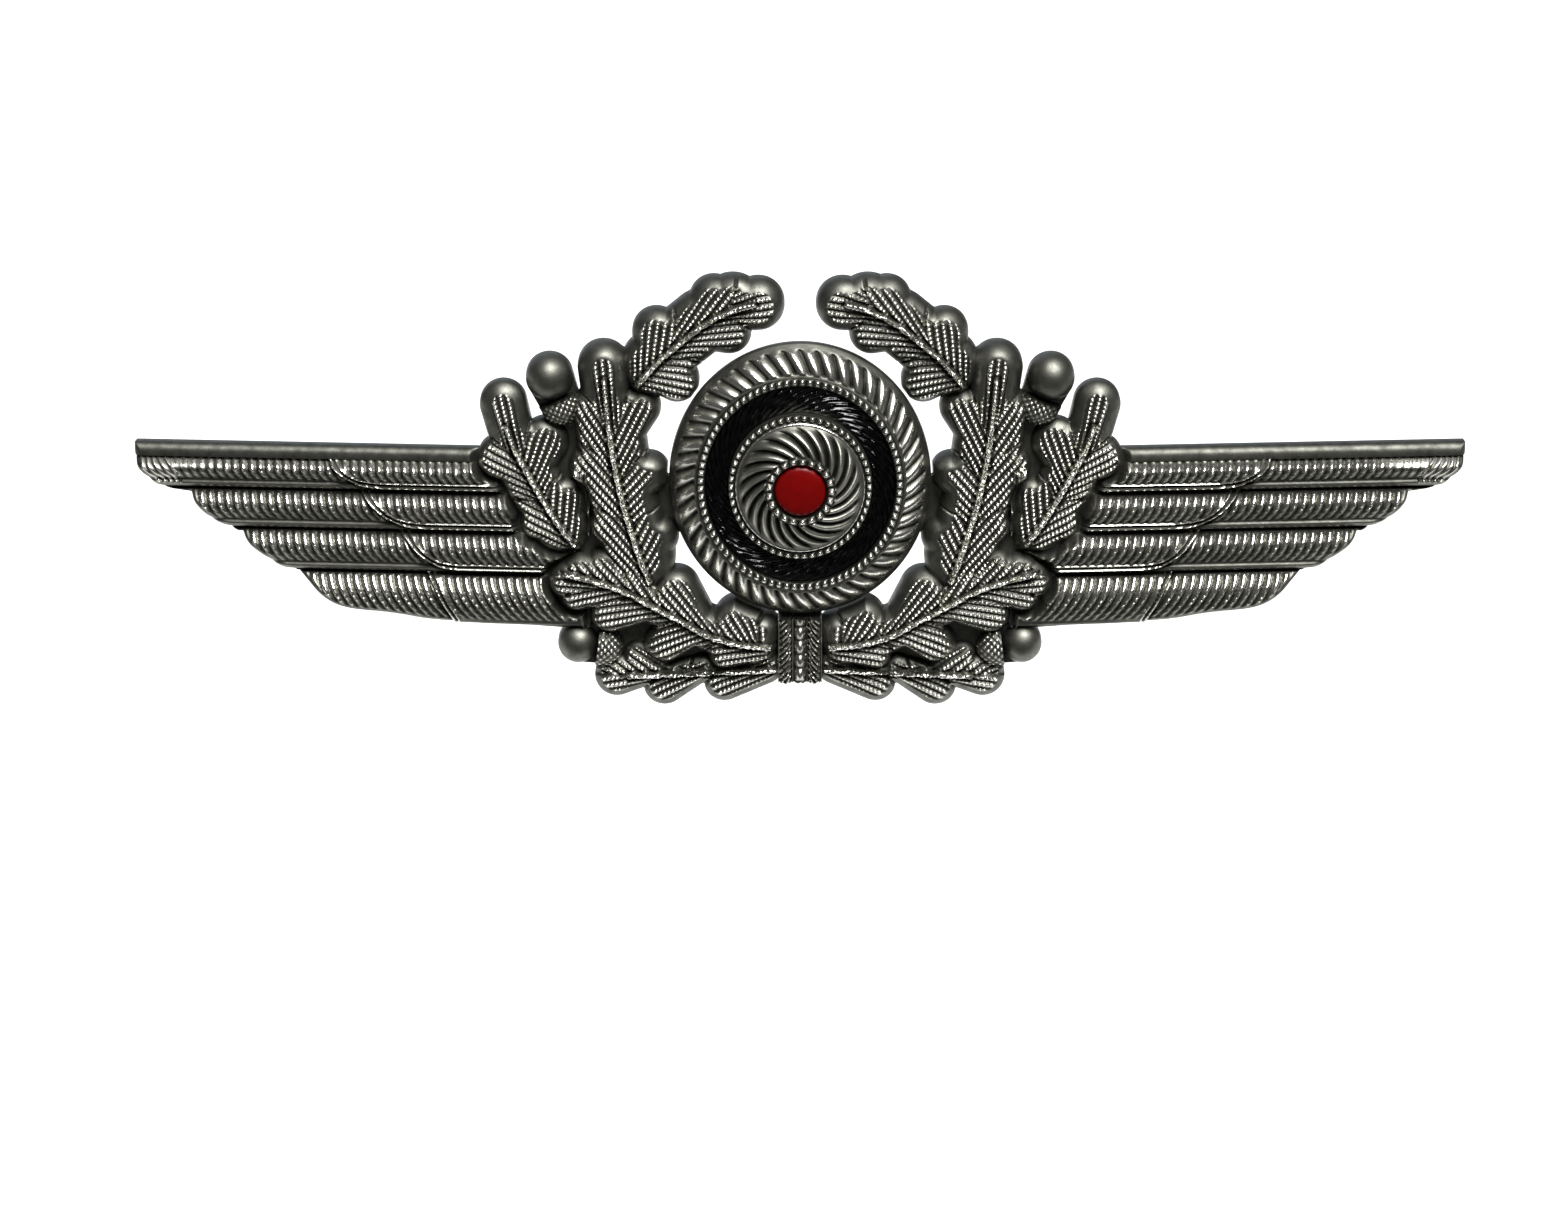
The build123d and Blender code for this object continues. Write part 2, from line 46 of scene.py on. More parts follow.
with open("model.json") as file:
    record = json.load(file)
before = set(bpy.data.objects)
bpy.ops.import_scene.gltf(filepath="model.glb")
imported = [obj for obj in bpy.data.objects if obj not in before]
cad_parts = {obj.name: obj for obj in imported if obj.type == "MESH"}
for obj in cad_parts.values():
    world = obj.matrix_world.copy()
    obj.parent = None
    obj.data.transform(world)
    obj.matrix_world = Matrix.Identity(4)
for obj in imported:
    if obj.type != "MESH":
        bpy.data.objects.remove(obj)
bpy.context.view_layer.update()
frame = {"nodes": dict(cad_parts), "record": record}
MM = 0.001
BODY = "badge"

# ---------------------------------------------------------------- sizes shared with the solids
BASE_DEPTH = 1.1               # sheet that joins the leaves
POCKET_DEPTH = 0.9
POCKET_RIM = 1.1
LOBE_ROOT = 1.3
SEAT_RADIUS = 11.2
SEAT_HOLE = 4.2
COCKADE_RADIUS = 11.9
COCKADE_CLEARANCE = 0.15
COCKADE_STRETCH = 0.07         # the cockade's outer rings are this much taller than wide
PLATE_FRONT = 1.5
WING_SWEEP = 4.5
WING_ROOT = 29.4
WING_POCKET_DEPTH = 0.7

# ---------------------------------------------------------------- how fine the relief is
FINE = 0.085
WING_FINE = 0.095
COARSE = 0.3
TURN_STEPS = 1040
SHARP_ANGLE = math.radians(50)
WALL_SHINE = 0.35

# ---------------------------------------------------------------- leaves of the left branch
# Each leaf: depth of its plateau, depth of its outer wall, half-width of its body, midrib points,
# and lobes as (tip, radius, root, smooth margin).
LEAVES = {
    "outer_leaf": (
        2.5, 1.5, 2.6,
        [(-19.8, -7.1), (-21.8, -4.4), (-23.5, -1.7), (-24.7, 0.6), (-25.8, 2.7), (-26.6, 4.9)],
        [
            ((-26.9, 6.8), 2.15, (-26.0, 3.2), 1.1),
            ((-27.3, 1.8), 2.0, (-23.7, 0.0), 0.45),
            ((-23.7, -4.1), 1.85, (-20.7, -5.6), 0.45),
            ((-23.1, 3.3), 2.2, (-24.4, -0.1), 0.8),
            ((-21.1, -2.0), 1.85, (-21.4, -5.3), 0.7),
        ],
    ),
    "top_leaf": (
        3.0, 1.6, 2.9,
        [(-14.8, 8.8), (-13.3, 10.6), (-11.7, 12.1), (-8.9, 14.4), (-6.1, 15.9), (-4.2, 16.4)],
        [
            ((-3.8, 16.1), 2.4, (-5.9, 15.8), 1.0),
            ((-7.8, 16.4), 2.25, (-10.6, 12.8), 0.8),
            ((-13.0, 13.5), 2.2, (-13.5, 9.9), 0.8),
            ((-6.4, 13.5), 2.0, (-9.6, 13.3), 0.75),
            ((-11.1, 9.0), 2.0, (-13.7, 9.6), 0.5),
        ],
    ),
    "inner_leaf": (
        3.2, 1.6, 3.2,
        [
            (-13.7, -9.4), (-14.5, -7.4), (-15.3, -4.9), (-16.2, -1.6),
            (-16.9, 1.9), (-17.4, 6.0), (-17.7, 9.4),
        ],
        [
            ((-17.8, 10.3), 2.35, (-17.3, 5.7), 1.35),
            ((-19.0, 6.1), 1.75, (-16.9, 2.9), 0.45),
            ((-19.3, 1.2), 1.75, (-16.2, -2.3), 0.45),
            ((-17.5, -4.5), 1.75, (-14.8, -7.6), 0.45),
            ((-14.5, 6.5), 1.9, (-16.8, 1.9), 0.75),
            ((-13.7, 0.4), 1.85, (-16.2, -2.3), 1.4),
            ((-13.0, -5.5), 2.0, (-14.6, -8.5), 1.5),
        ],
    ),
    "bottom_inner_leaf": (
        2.3, 1.4, 2.3,
        [(-2.3, -18.0), (-9.1, -18.3), (-15.6, -18.6)],
        [
            ((-6.9, -19.4), 1.9, (-3.3, -17.9), 0.7),
            ((-12.4, -19.7), 1.95, (-8.9, -18.0), 0.7),
            ((-16.8, -18.8), 2.0, (-13.2, -18.2), 0.7),
            ((-14.9, -16.8), 1.3, (-13.2, -17.9), 0.5),
        ],
    ),
    "bottom_outer_leaf": (
        3.3, 1.7, 2.0,
        [
            (-2.3, -15.7), (-7.1, -15.0), (-10.9, -13.1), (-13.8, -11.5),
            (-16.7, -10.0), (-19.9, -9.0), (-21.4, -8.6),
        ],
        [
            ((-5.5, -13.6), 2.4, (-4.4, -15.4), 0.9),
            ((-3.4, -14.2), 1.6, (-3.3, -15.6), 1.2),
            ((-11.3, -10.7), 2.2, (-8.7, -13.9), 0.8),
            ((-15.1, -9.4), 1.6, (-13.7, -11.5), 0.5),
            ((-17.9, -8.3), 1.7, (-15.9, -10.4), 0.6),
            ((-21.0, -9.6), 1.9, (-18.2, -9.8), 0.5),
            ((-20.3, -10.9), 1.7, (-17.3, -10.2), 0.5),
            ((-17.4, -12.8), 1.9, (-13.2, -12.0), 0.5),
            ((-12.4, -15.6), 1.9, (-9.1, -14.2), 0.5),
            ((-6.9, -16.6), 1.5, (-3.4, -16.0), 0.5),
        ],
    ),
}
# Acorns: nut centre and radius, cup centre and radius, depth of the acorn's axis.
ACORNS = {
    "top_acorn": ((-22.7, 9.3), 2.15, (-21.6, 6.6), 1.8, 1.3),
    "bottom_acorn": ((-20.3, -15.7), 1.85, (-17.8, -16.0), 1.75, 1.3),
}
# Metal under the leaves: half-width and run.
CORE_RUNS = [
    (
        1.9,
        [
            (-2.0, -16.8), (-9.0, -16.6), (-15.0, -13.2), (-18.0, -9.5),
            (-20.6, -4.5), (-21.2, 0.5), (-20.9, 5.5),
        ],
    ),
    (
        1.7,
        [(-16.0, -9.0), (-15.6, -3.0), (-16.9, 4.0), (-15.2, 9.4), (-12.2, 12.0), (-7.0, 15.4)],
    ),
]
# Two circles each: metal from the branch to the cockade's seat, and between the two bottom leaves.
SEAT_TAB = ((-14.5, -2.6), 2.6, (-10.2, -2.6), 2.599)
BOTTOM_WEB = ((-19.5, -15.2), 1.8, (-12.0, -16.3), 2.6)
BASE_INSET = 0.04              # keeps the base's edge just inside the leaves' walls
STEM_TOP = -10.6
BINDING_HALF_WIDTH = 2.0
BINDING_TOP = -12.95
BINDING_BOTTOM = -19.0

# ---------------------------------------------------------------- plane fields
# A field is negative inside a shape and close to the distance from its edge.


def blob(p, a, radius_a, b, radius_b):
    """Field of the shape that wraps two circles."""
    a, b = np.asarray(a, float), np.asarray(b, float)
    axis = b - a
    length2 = axis @ axis
    step = radius_a - radius_b
    flat2 = length2 - step * step
    rel = p - a
    y = rel @ axis
    z = y - length2
    x2 = ((rel * length2 - y[:, None] * axis) ** 2).sum(1)
    y2 = y * y * length2
    z2 = z * z * length2
    k = np.sign(step) * step * step * x2
    side = (np.sqrt(x2 * flat2 / length2) + y * step) / length2 - radius_a
    at_b = np.sqrt(x2 + z2) / length2 - radius_b
    at_a = np.sqrt(x2 + y2) / length2 - radius_a
    out = np.where(np.sign(y) * flat2 * y2 < k, at_a, side)
    return np.where(np.sign(z) * flat2 * z2 > k, at_b, out)


def box_field(p, low, high):
    low, high = np.asarray(low, float), np.asarray(high, float)
    q = np.abs(p - (low + high) / 2) - (high - low) / 2
    return np.hypot(*np.maximum(q, 0).T) + np.minimum(q.max(1), 0)


def line_distance(p, points):
    """Distance from a run of points, how far along the run the nearest place is, and which side
    of the run the point is on."""
    best = np.full(len(p), 1e9)
    along = np.zeros(len(p))
    side = np.zeros(len(p), bool)
    start = 0.0
    for a, b in zip(points, points[1:]):
        a, b = np.asarray(a, float), np.asarray(b, float)
        axis = b - a
        length = math.hypot(*axis)
        t = np.clip((p - a) @ axis / length ** 2, 0, 1)
        distance = np.hypot(*(p - a - t[:, None] * axis).T)
        nearer = distance < best
        best = np.where(nearer, distance, best)
        along = np.where(nearer, start + t * length, along)
        side = np.where(nearer, (p - a) @ np.array([-axis[1], axis[0]]) > 0, side)
        start += length
    return best, along, side


def polygon_field(p, points):
    """Field of a closed polygon."""
    points = np.asarray(points, float)
    best = np.full(len(p), 1e9)
    inside = np.zeros(len(p), bool)
    for a, b in zip(points, np.roll(points, -1, axis=0)):
        axis = b - a
        t = np.clip((p - a) @ axis / max(axis @ axis, 1e-12), 0, 1)
        best = np.minimum(best, np.hypot(*(p - a - t[:, None] * axis).T))
        crosses = (a[1] > p[:, 1]) != (b[1] > p[:, 1])
        if a[1] != b[1]:
            inside ^= crosses & (p[:, 0] < a[0] + (p[:, 1] - a[1]) * axis[0] / axis[1])
    return np.where(inside, -best, best)


def smooth(points, steps=8):
    """Curve through a run of points."""
    q = np.asarray(points, float)
    q = np.vstack([2 * q[0] - q[1], q, 2 * q[-1] - q[-2]])
    curve = []
    for a, b, c, d in zip(q, q[1:], q[2:], q[3:]):
        square = 2 * a - 5 * b + 4 * c - d
        cube = 3 * b - a - 3 * c + d
        for t in np.arange(steps) / steps:
            curve.append(0.5 * (2 * b + (c - a) * t + square * t ** 2 + cube * t ** 3))
    curve.append(q[-2])
    return np.array(curve)


def ease(low, high, value):
    """Smooth step from 0 at low to 1 at high."""
    t = np.clip((value - low) / (high - low), 0, 1)
    return t * t * (3 - 2 * t)


def bulge(t):
    """Quarter-round: 0 at 0, 1 at 1, steep at first."""
    t = np.clip(t, 0, 1)
    return np.sqrt(1 - (1 - t) ** 2)


def line_at(value, place, half_width):
    """Soft line: 1 at the place, fading out over the half-width."""
    return np.exp(-(((value - place) / half_width) ** 2))


def wave(value):
    """Rounded ridge once per unit, 1 at whole numbers and 0 half-way."""
    return 0.5 + 0.5 * np.cos(2 * math.pi * value)


# ---------------------------------------------------------------- sheets and solids


def grid(low, high, pitch):
    columns = int(math.ceil((high[0] - low[0]) / pitch)) + 1
    rows = int(math.ceil((high[1] - low[1]) / pitch)) + 1
    x, z = np.meshgrid(low[0] + pitch * np.arange(columns), low[1] + pitch * np.arange(rows), indexing="ij")
    points = np.stack([x.ravel(), z.ravel()], 1)
    i, j = np.meshgrid(np.arange(columns - 1), np.arange(rows - 1), indexing="ij")
    a = (i * rows + j).ravel()
    b, c, d = a + rows, a + rows + 1, a + 1
    odd = ((i + j) % 2 == 1).ravel()[:, None]
    first = np.where(odd, np.stack([a, b, d], 1), np.stack([a, b, c], 1))
    second = np.where(odd, np.stack([b, c, d], 1), np.stack([a, c, d], 1))
    return points, np.vstack([first, second])


def clip(points, faces, value):
    """The part of a sheet where value is negative, cut cleanly along its zero line."""
    value = np.where(np.abs(value) < 1e-4, 1e-4, value)
    inside = value < 0
    count = inside[faces].sum(1)
    cut = faces[(count == 1) | (count == 2)]
    total = len(points)
    edges = np.sort(np.vstack([cut[:, [0, 1]], cut[:, [1, 2]], cut[:, [2, 0]]]), axis=1)
    edges = edges[inside[edges[:, 0]] != inside[edges[:, 1]]]
    keys = np.unique(edges[:, 0] * total + edges[:, 1])
    a, b = keys // total, keys % total
    t = (value[a] / (value[a] - value[b]))[:, None]
    points = np.vstack([points, points[a] + t * (points[b] - points[a])])

    def middle(p, q):
        return total + np.searchsorted(keys, np.minimum(p, q) * total + np.maximum(p, q))

    parts = [faces[count == 3]]
    for lone in (1, 2):
        group = faces[count == lone]
        odd = inside[group] == (lone == 1)
        first = odd.argmax(1)
        row = np.arange(len(group))
        p, q, r = (group[row, (first + k) % 3] for k in range(3))
        pq, pr = middle(p, q), middle(p, r)
        if lone == 1:
            parts.append(np.stack([p, pq, pr], 1))
        else:
            parts += [np.stack([pq, q, r], 1), np.stack([pq, r, pr], 1)]
    faces = np.vstack(parts)
    used, packed = np.unique(faces, return_inverse=True)
    return points[used], packed.reshape(-1, 3)


def border(faces):
    """Directed edges round a sheet, with the sheet on their left."""
    edges = np.vstack([faces[:, [0, 1]], faces[:, [1, 2]], faces[:, [2, 0]]])
    total = faces.max() + 1
    keys = edges[:, 0] * total + edges[:, 1]
    back = edges[:, 1] * total + edges[:, 0]
    return edges[~np.isin(back, keys)]


def edge_distance(points, faces):
    """Distance of every point of a sheet from the sheet's edge."""
    edge = points[np.unique(border(faces))]
    found = []
    for block in np.array_split(points, len(points) // 2000 + 1):
        found.append(np.sqrt(((block[:, None] - edge[None]) ** 2).sum(2).min(1)))
    return np.concatenate(found)


def lift(points, depth):
    """Plane points at a depth, as x, y, z."""
    return np.stack([points[:, 0], -np.broadcast_to(depth, len(points)), points[:, 1]], 1)


def build(name, shape, node, slot, place=None, mirrored=False):
    """Makes the piece that stands for a node. shape is its points in millimetres, faces and shine,
    which is 1 on worn ridges and 0 in the hollows, where its darkness is painted shade as well as dark
    oxide."""
    points, faces, shine = shape
    if place is not None:
        points = place(points)
    if mirrored:
        points = points * (-1, 1, 1)
        faces = [tuple(reversed(face)) for face in faces]
    mesh = bpy.data.meshes.new(name)
    mesh.from_pydata((points * MM).tolist(), [], faces)
    mesh.validate()
    layer = mesh.attributes.new("shine", "FLOAT", "POINT")
    layer.data.foreach_set("value", np.asarray(shine, np.float32))
    mesh.shade_smooth()
    mesh.set_sharp_from_angle(angle=SHARP_ANGLE)
    mesh.materials.append(MATERIALS[slot])
    obj = bpy.data.objects.new(name, mesh)
    bpy.context.collection.objects.link(obj)
    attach(obj, BODY)
    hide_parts(node)


def build_pair(name, shape, node, place=None):
    """A piece of the left side and its mirror image on the right. {side} in node is filled in."""
    for side, mirrored in (("left", False), ("right", True)):
        build(f"{side}_{name}", shape, node.format(side=side), SILVER, place, mirrored)


def relief(points, faces, depth, shine, inset=0.05, floor=BASE_DEPTH - 0.1):
    """Closed solid under a sheet: outer wall to the back plane, narrow rim, and a raised underside."""
    count = len(points)
    edges = border(faces)
    rim = np.unique(edges)
    where = np.full(count, -1)
    where[rim] = np.arange(len(rim))
    inward = np.zeros((count, 2))
    along = points[edges[:, 1]] - points[edges[:, 0]]
    normal = np.stack([-along[:, 1], along[:, 0]], 1)
    for end in (0, 1):
        np.add.at(inward, edges[:, end], normal)
    inward = inward[rim]
    inward /= np.maximum(np.hypot(*inward.T), 1e-9)[:, None]
    under = points.copy()
    under[rim] += inset * inward
    wall_low, rim_low, under_low = count, count + len(rim), count + 2 * len(rim)
    layers = [lift(points, depth), lift(points[rim], 0), lift(under[rim], 0), lift(under, floor)]
    all_points = np.vstack(layers)
    first, last = edges.T
    a, b = where[first], where[last]
    quads = np.vstack([
        np.stack([last, first, wall_low + a, wall_low + b], 1),
        np.stack([wall_low + b, wall_low + a, rim_low + a, rim_low + b], 1),
        np.stack([rim_low + b, rim_low + a, under_low + first, under_low + last], 1),
    ])
    underside = faces[:, ::-1] + under_low
    all_shine = np.concatenate([shine, np.full(len(all_points) - count, WALL_SHINE)])
    return all_points, faces.tolist() + quads.tolist() + underside.tolist(), all_shine


# ---------------------------------------------------------------- materials


def metal(name, stops, rough_dark, rough_bright, grain):
    """Antiqued metal whose colour follows the shine attribute: near black in the hollows, which is painted
    shade as well as dark oxide, worn metal on the ridges, fine casting grain.
    """
    material = bpy.data.materials.new(name)
    material.use_nodes = True
    nodes, links = material.node_tree.nodes, material.node_tree.links
    shader = nodes["Principled BSDF"]
    shader.inputs["Metallic"].default_value = 1.0
    # the shine attribute: wear on the ridges, painted shade together with oxide in the hollows
    wear_and_shade = nodes.new("ShaderNodeAttribute")
    wear_and_shade.attribute_name = "shine"
    place = nodes.new("ShaderNodeTexCoord")
    blotch = nodes.new("ShaderNodeTexNoise")
    blotch.inputs["Scale"].default_value = 1200
    blotch.inputs["Detail"].default_value = 6
    links.new(place.outputs["Object"], blotch.inputs["Vector"])
    spread = nodes.new("ShaderNodeMath")
    spread.operation = "MULTIPLY_ADD"
    spread.inputs[1].default_value = 0.3
    spread.inputs[2].default_value = -0.15
    links.new(blotch.outputs["Fac"], spread.inputs[0])
    total = nodes.new("ShaderNodeMath")
    total.use_clamp = True
    links.new(wear_and_shade.outputs["Fac"], total.inputs[0])
    links.new(spread.outputs[0], total.inputs[1])
    tone = nodes.new("ShaderNodeValToRGB")
    ramp = tone.color_ramp
    for element, (position, colour) in zip((ramp.elements[0], ramp.elements[1]), (stops[0], stops[-1])):
        element.position = position
        element.color = (*colour, 1)
    for position, colour in stops[1:-1]:
        ramp.elements.new(position).color = (*colour, 1)
    links.new(total.outputs[0], tone.inputs["Fac"])
    links.new(tone.outputs["Color"], shader.inputs["Base Color"])
    rough = nodes.new("ShaderNodeMapRange")
    rough.inputs["To Min"].default_value = rough_dark
    rough.inputs["To Max"].default_value = rough_bright
    links.new(total.outputs[0], rough.inputs["Value"])
    links.new(rough.outputs[0], shader.inputs["Roughness"])
    grit = nodes.new("ShaderNodeTexNoise")
    grit.inputs["Scale"].default_value = 7000
    grit.inputs["Detail"].default_value = 3
    links.new(place.outputs["Object"], grit.inputs["Vector"])
    bump = nodes.new("ShaderNodeBump")
    bump.inputs["Strength"].default_value = grain
    bump.inputs["Distance"].default_value = 0.00004
    links.new(grit.outputs["Fac"], bump.inputs["Height"])
    links.new(bump.outputs["Normal"], shader.inputs["Normal"])
    return material


def mottled(name, colours, edges, roughness, scale, detail):
    """Material whose colour and roughness drift between two values in patches."""
    material = bpy.data.materials.new(name)
    material.use_nodes = True
    nodes, links = material.node_tree.nodes, material.node_tree.links
    shader = nodes["Principled BSDF"]
    place = nodes.new("ShaderNodeTexCoord")
    noise = nodes.new("ShaderNodeTexNoise")
    noise.inputs["Scale"].default_value = scale
    noise.inputs["Detail"].default_value = detail
    links.new(place.outputs["Object"], noise.inputs["Vector"])
    tone = nodes.new("ShaderNodeValToRGB")
    for element, colour, edge in zip(tone.color_ramp.elements, colours, edges):
        element.color = (*colour, 1)
        element.position = edge
    links.new(noise.outputs["Fac"], tone.inputs["Fac"])
    links.new(tone.outputs["Color"], shader.inputs["Base Color"])
    rough = nodes.new("ShaderNodeMapRange")
    rough.inputs["To Min"].default_value, rough.inputs["To Max"].default_value = roughness
    links.new(noise.outputs["Fac"], rough.inputs["Value"])
    links.new(rough.outputs[0], shader.inputs["Roughness"])
    return material, shader


def faded(colour, part):
    return [part * c for c in colour]


def glossy(name, colour, roughness, specular):
    """Lacquer or enamel whose colour drifts a little and whose gloss is slightly worn in patches."""
    rough = (roughness - 0.03, roughness + 0.05)
    material, shader = mottled(name, (faded(colour, 0.75), colour), (0.35, 0.65), rough, 500, 5)
    shader.inputs["Specular IOR Level"].default_value = specular
    return material


def plain_metal(name, colour, roughness):
    """Bare metal with a mottled colour and gloss."""
    rough = (roughness + 0.15, roughness - 0.05)
    material, shader = mottled(name, (faded(colour, 0.55), colour), (0.3, 0.7), rough, 700, 6)
    shader.inputs["Metallic"].default_value = 1.0
    return material


SILVER = "aged_silver_metal"
# Colours along the shine attribute: the darkest stop is painted shade in the hollows as well as dark oxide.
TONES = [
    (0.0, (0.03, 0.03, 0.025)),
    (0.3, (0.2, 0.2, 0.175)),
    (0.65, (0.46, 0.455, 0.4)),
    (1.0, (0.9, 0.89, 0.84)),
]
MATERIALS = {
    SILVER: metal(SILVER, TONES, 0.55, 0.17, 0.4),
    "black_lacquer": glossy("black_lacquer", (0.001, 0.001, 0.0012), 0.1, 0.5),
    "red_enamel": glossy("red_enamel", (0.17, 0.0007, 0.0004), 0.3, 0.25),
}

# ---------------------------------------------------------------- leaves
MATTE = 0.18                   # shine of the smooth margins
NUT_SHINE = 0.2
EDGE_ROUND = 1.2               # how far in from its edge a leaf rises to its plateau
LOBE_CROWN = 0.25
RIB_FALL = 0.1                 # fall of a leaf for each millimetre from its midrib
CREASE_DEPTH = 0.3             # between two lobes
GROOVE_DEPTH = 0.2             # on both sides of the midrib
RIB_HEIGHT = 0.42
RIB_BEAD = 0.1


def cockade_room(p):
    """Field of everything outside the seat of the cockade."""
    return COCKADE_RADIUS + COCKADE_CLEARANCE - np.hypot(p[:, 0], p[:, 1] / (1 + COCKADE_STRETCH))


ROW_PITCH = 0.66
BEAD_PITCH = 0.4
ROW_HEIGHT = 0.4
ROW_ROOT = 1.6                 # half-width of a lobe's rows at its root
RIB_WIDTH = 0.24
ACROSS_RIB = 3.0               # keeps a lobe's rows on its own side of the midrib
LEAF_ROOM = 3.2                # room round a leaf's or acorn's points for its outline
ACORN_ROOM = 2.2
TIP_ROOT = 0.95                # root of a leaf's first lobe, as a part of its tip's radius


def leaf_field(p, leaf):
    """Outline of a leaf, cut off where the cockade sits."""
    _, _, body, midrib, lobes = leaf
    out = line_distance(p, midrib[1:-1])[0] - body
    for index, (tip, radius, root, _) in enumerate(lobes):
        root_radius = TIP_ROOT * radius if index == 0 else LOBE_ROOT
        out = np.minimum(out, blob(p, tip, radius, root, root_radius))
    return np.maximum(out, cockade_room(p))


def leaf_surface(p, inside, leaf):
    """Depth and shine of a leaf at plane points, given their distances from its edge."""
    plateau, wall, _, midrib, lobes = leaf
    ribs = smooth(midrib, 6)
    rib_distance, rib_along, rib_side = line_distance(p, ribs)
    fields = np.array([blob(p, tip, radius, root, ROW_ROOT) for tip, radius, root, _ in lobes])
    for index, (tip, _, _, _) in enumerate(lobes[1:], 1):
        tip_side = line_distance(np.array([tip]), ribs)[2]
        fields[index] += ACROSS_RIB * (rib_side != tip_side)
    owner = fields.argmin(0)
    gap = np.partition(fields, 1, axis=0)
    gap = gap[1] - gap[0]
    row, bead, crown, margin = (np.zeros(len(p)) for _ in range(4))
    for index, (tip, radius, root, lobe_margin) in enumerate(lobes):
        mine = owner == index
        axis = np.subtract(tip, root)
        length = math.hypot(*axis)
        axis = axis / length
        rel = p[mine] - root
        u = rel @ axis
        v = rel @ np.array([-axis[1], axis[0]])
        half = ROW_ROOT + (radius - ROW_ROOT) * np.clip(u / length, 0, 1)
        row[mine] = v * radius / half / ROW_PITCH
        bead[mine] = wave(u / BEAD_PITCH + 0.5 * (np.round(row[mine]) % 2))
        crown[mine] = 1 - np.clip(v / half, -1, 1) ** 2
        margin[mine] = lobe_margin
    vein = wave(row) * (0.5 + 0.5 * bead)
    covered = ease(margin - 0.1, margin + 0.1, inside)
    crease = (1 - ease(0, 0.3, gap)) * (1 - ease(0.9, 2.0, inside))
    depth = wall + (plateau - wall) * bulge(inside / EDGE_ROUND)
    depth += LOBE_CROWN * crown * ease(0, EDGE_ROUND, inside)
    depth -= RIB_FALL * np.minimum(rib_distance, 5.0) + CREASE_DEPTH * crease
    depth += covered * (0.1 + ROW_HEIGHT * (vein - 0.5))
    shine = MATTE * (1 - covered) + covered * vein ** 0.75
    groove = line_at(rib_distance, RIB_WIDTH + 0.14, 0.13)
    depth -= GROOVE_DEPTH * groove * covered
    # painted shade: the grooves beside the midrib are darkened
    shine *= 1 - 0.8 * groove
    rib_bead = wave(rib_along / BEAD_PITCH)
    rib = RIB_HEIGHT * bulge(1 - rib_distance / RIB_WIDTH) + RIB_BEAD * rib_bead
    on_rib = (rib_distance < RIB_WIDTH) & (inside > 0.6)
    depth += np.where(on_rib, rib + 0.17 * (1 - vein) * covered, 0)
    shine = np.where(on_rib, 0.7 + 0.3 * rib_bead, shine)
    return depth, shine


CUP_EDGE = 0.75                # from the cup's centre to its mouth
CUP_PROUD = 0.15
SCALE_PITCH = 0.62
SCALE_HEIGHT = 0.2


def acorn_surface(p, nut, nut_radius, cup, cup_radius, axis_depth):
    """Depth, shine and outline of an acorn: a smooth nut in a scaly cup."""
    outline = blob(p, nut, nut_radius, cup, cup_radius)
    nut, cup = np.asarray(nut), np.asarray(cup)
    axis = (nut - cup) / math.hypot(*(nut - cup))
    rel = p - cup
    u = rel @ axis
    v = rel @ np.array([-axis[1], axis[0]])
    radius = np.hypot(*(p - nut).T)
    ball = axis_depth + np.sqrt(np.maximum(nut_radius ** 2 - radius ** 2, 0))
    bowl = (cup_radius + CUP_PROUD) ** 2 - v ** 2 - np.minimum(u - 0.2, 0) ** 2
    bowl = axis_depth + np.sqrt(np.maximum(bowl, 0))
    hatch = wave((u + v) / SCALE_PITCH) * wave((u - v) / SCALE_PITCH)
    in_cup = u < CUP_EDGE
    depth = np.where(in_cup, bowl + SCALE_HEIGHT * (hatch - 0.5), ball)
    depth = np.maximum(depth, axis_depth)
    shine = np.where(in_cup, 0.1 + 0.9 * hatch, NUT_SHINE)
    # painted shade: a dark line round the cup's mouth, where the nut sits in it
    shine = shine * (1 - line_at(u, CUP_EDGE, 0.12))
    return depth, shine, outline


def sheet_over(low, high, pitch, field):
    """The part of the plane inside a field, as a sheet."""
    points, faces = grid(low, high, pitch)
    return clip(points, faces, field(points))


for leaf_name, leaf in LEAVES.items():
    ends = np.array([lobe[0] for lobe in leaf[4]] + [lobe[2] for lobe in leaf[4]])
    low, high = ends.min(0) - LEAF_ROOM, ends.max(0) + LEAF_ROOM
    points, faces = sheet_over(low, high, FINE, lambda p: leaf_field(p, leaf))
    depth, shine = leaf_surface(points, edge_distance(points, faces), leaf)
    build_pair(leaf_name, relief(points, faces, depth, shine), "wreath")

for acorn_name, acorn in ACORNS.items():
    low = np.minimum(acorn[0], acorn[2]) - ACORN_ROOM
    high = np.maximum(acorn[0], acorn[2]) + ACORN_ROOM
    points, faces = sheet_over(low, high, FINE, lambda p: acorn_surface(p, *acorn)[2])
    depth, shine, _ = acorn_surface(points, *acorn)
    build_pair(acorn_name, relief(points, faces, depth, shine), "wreath")

# ---------------------------------------------------------------- base of the wreath


def mirrored_points(p):
    """Every point brought to the left half."""
    return np.stack([-np.abs(p[:, 0]), p[:, 1]], 1)


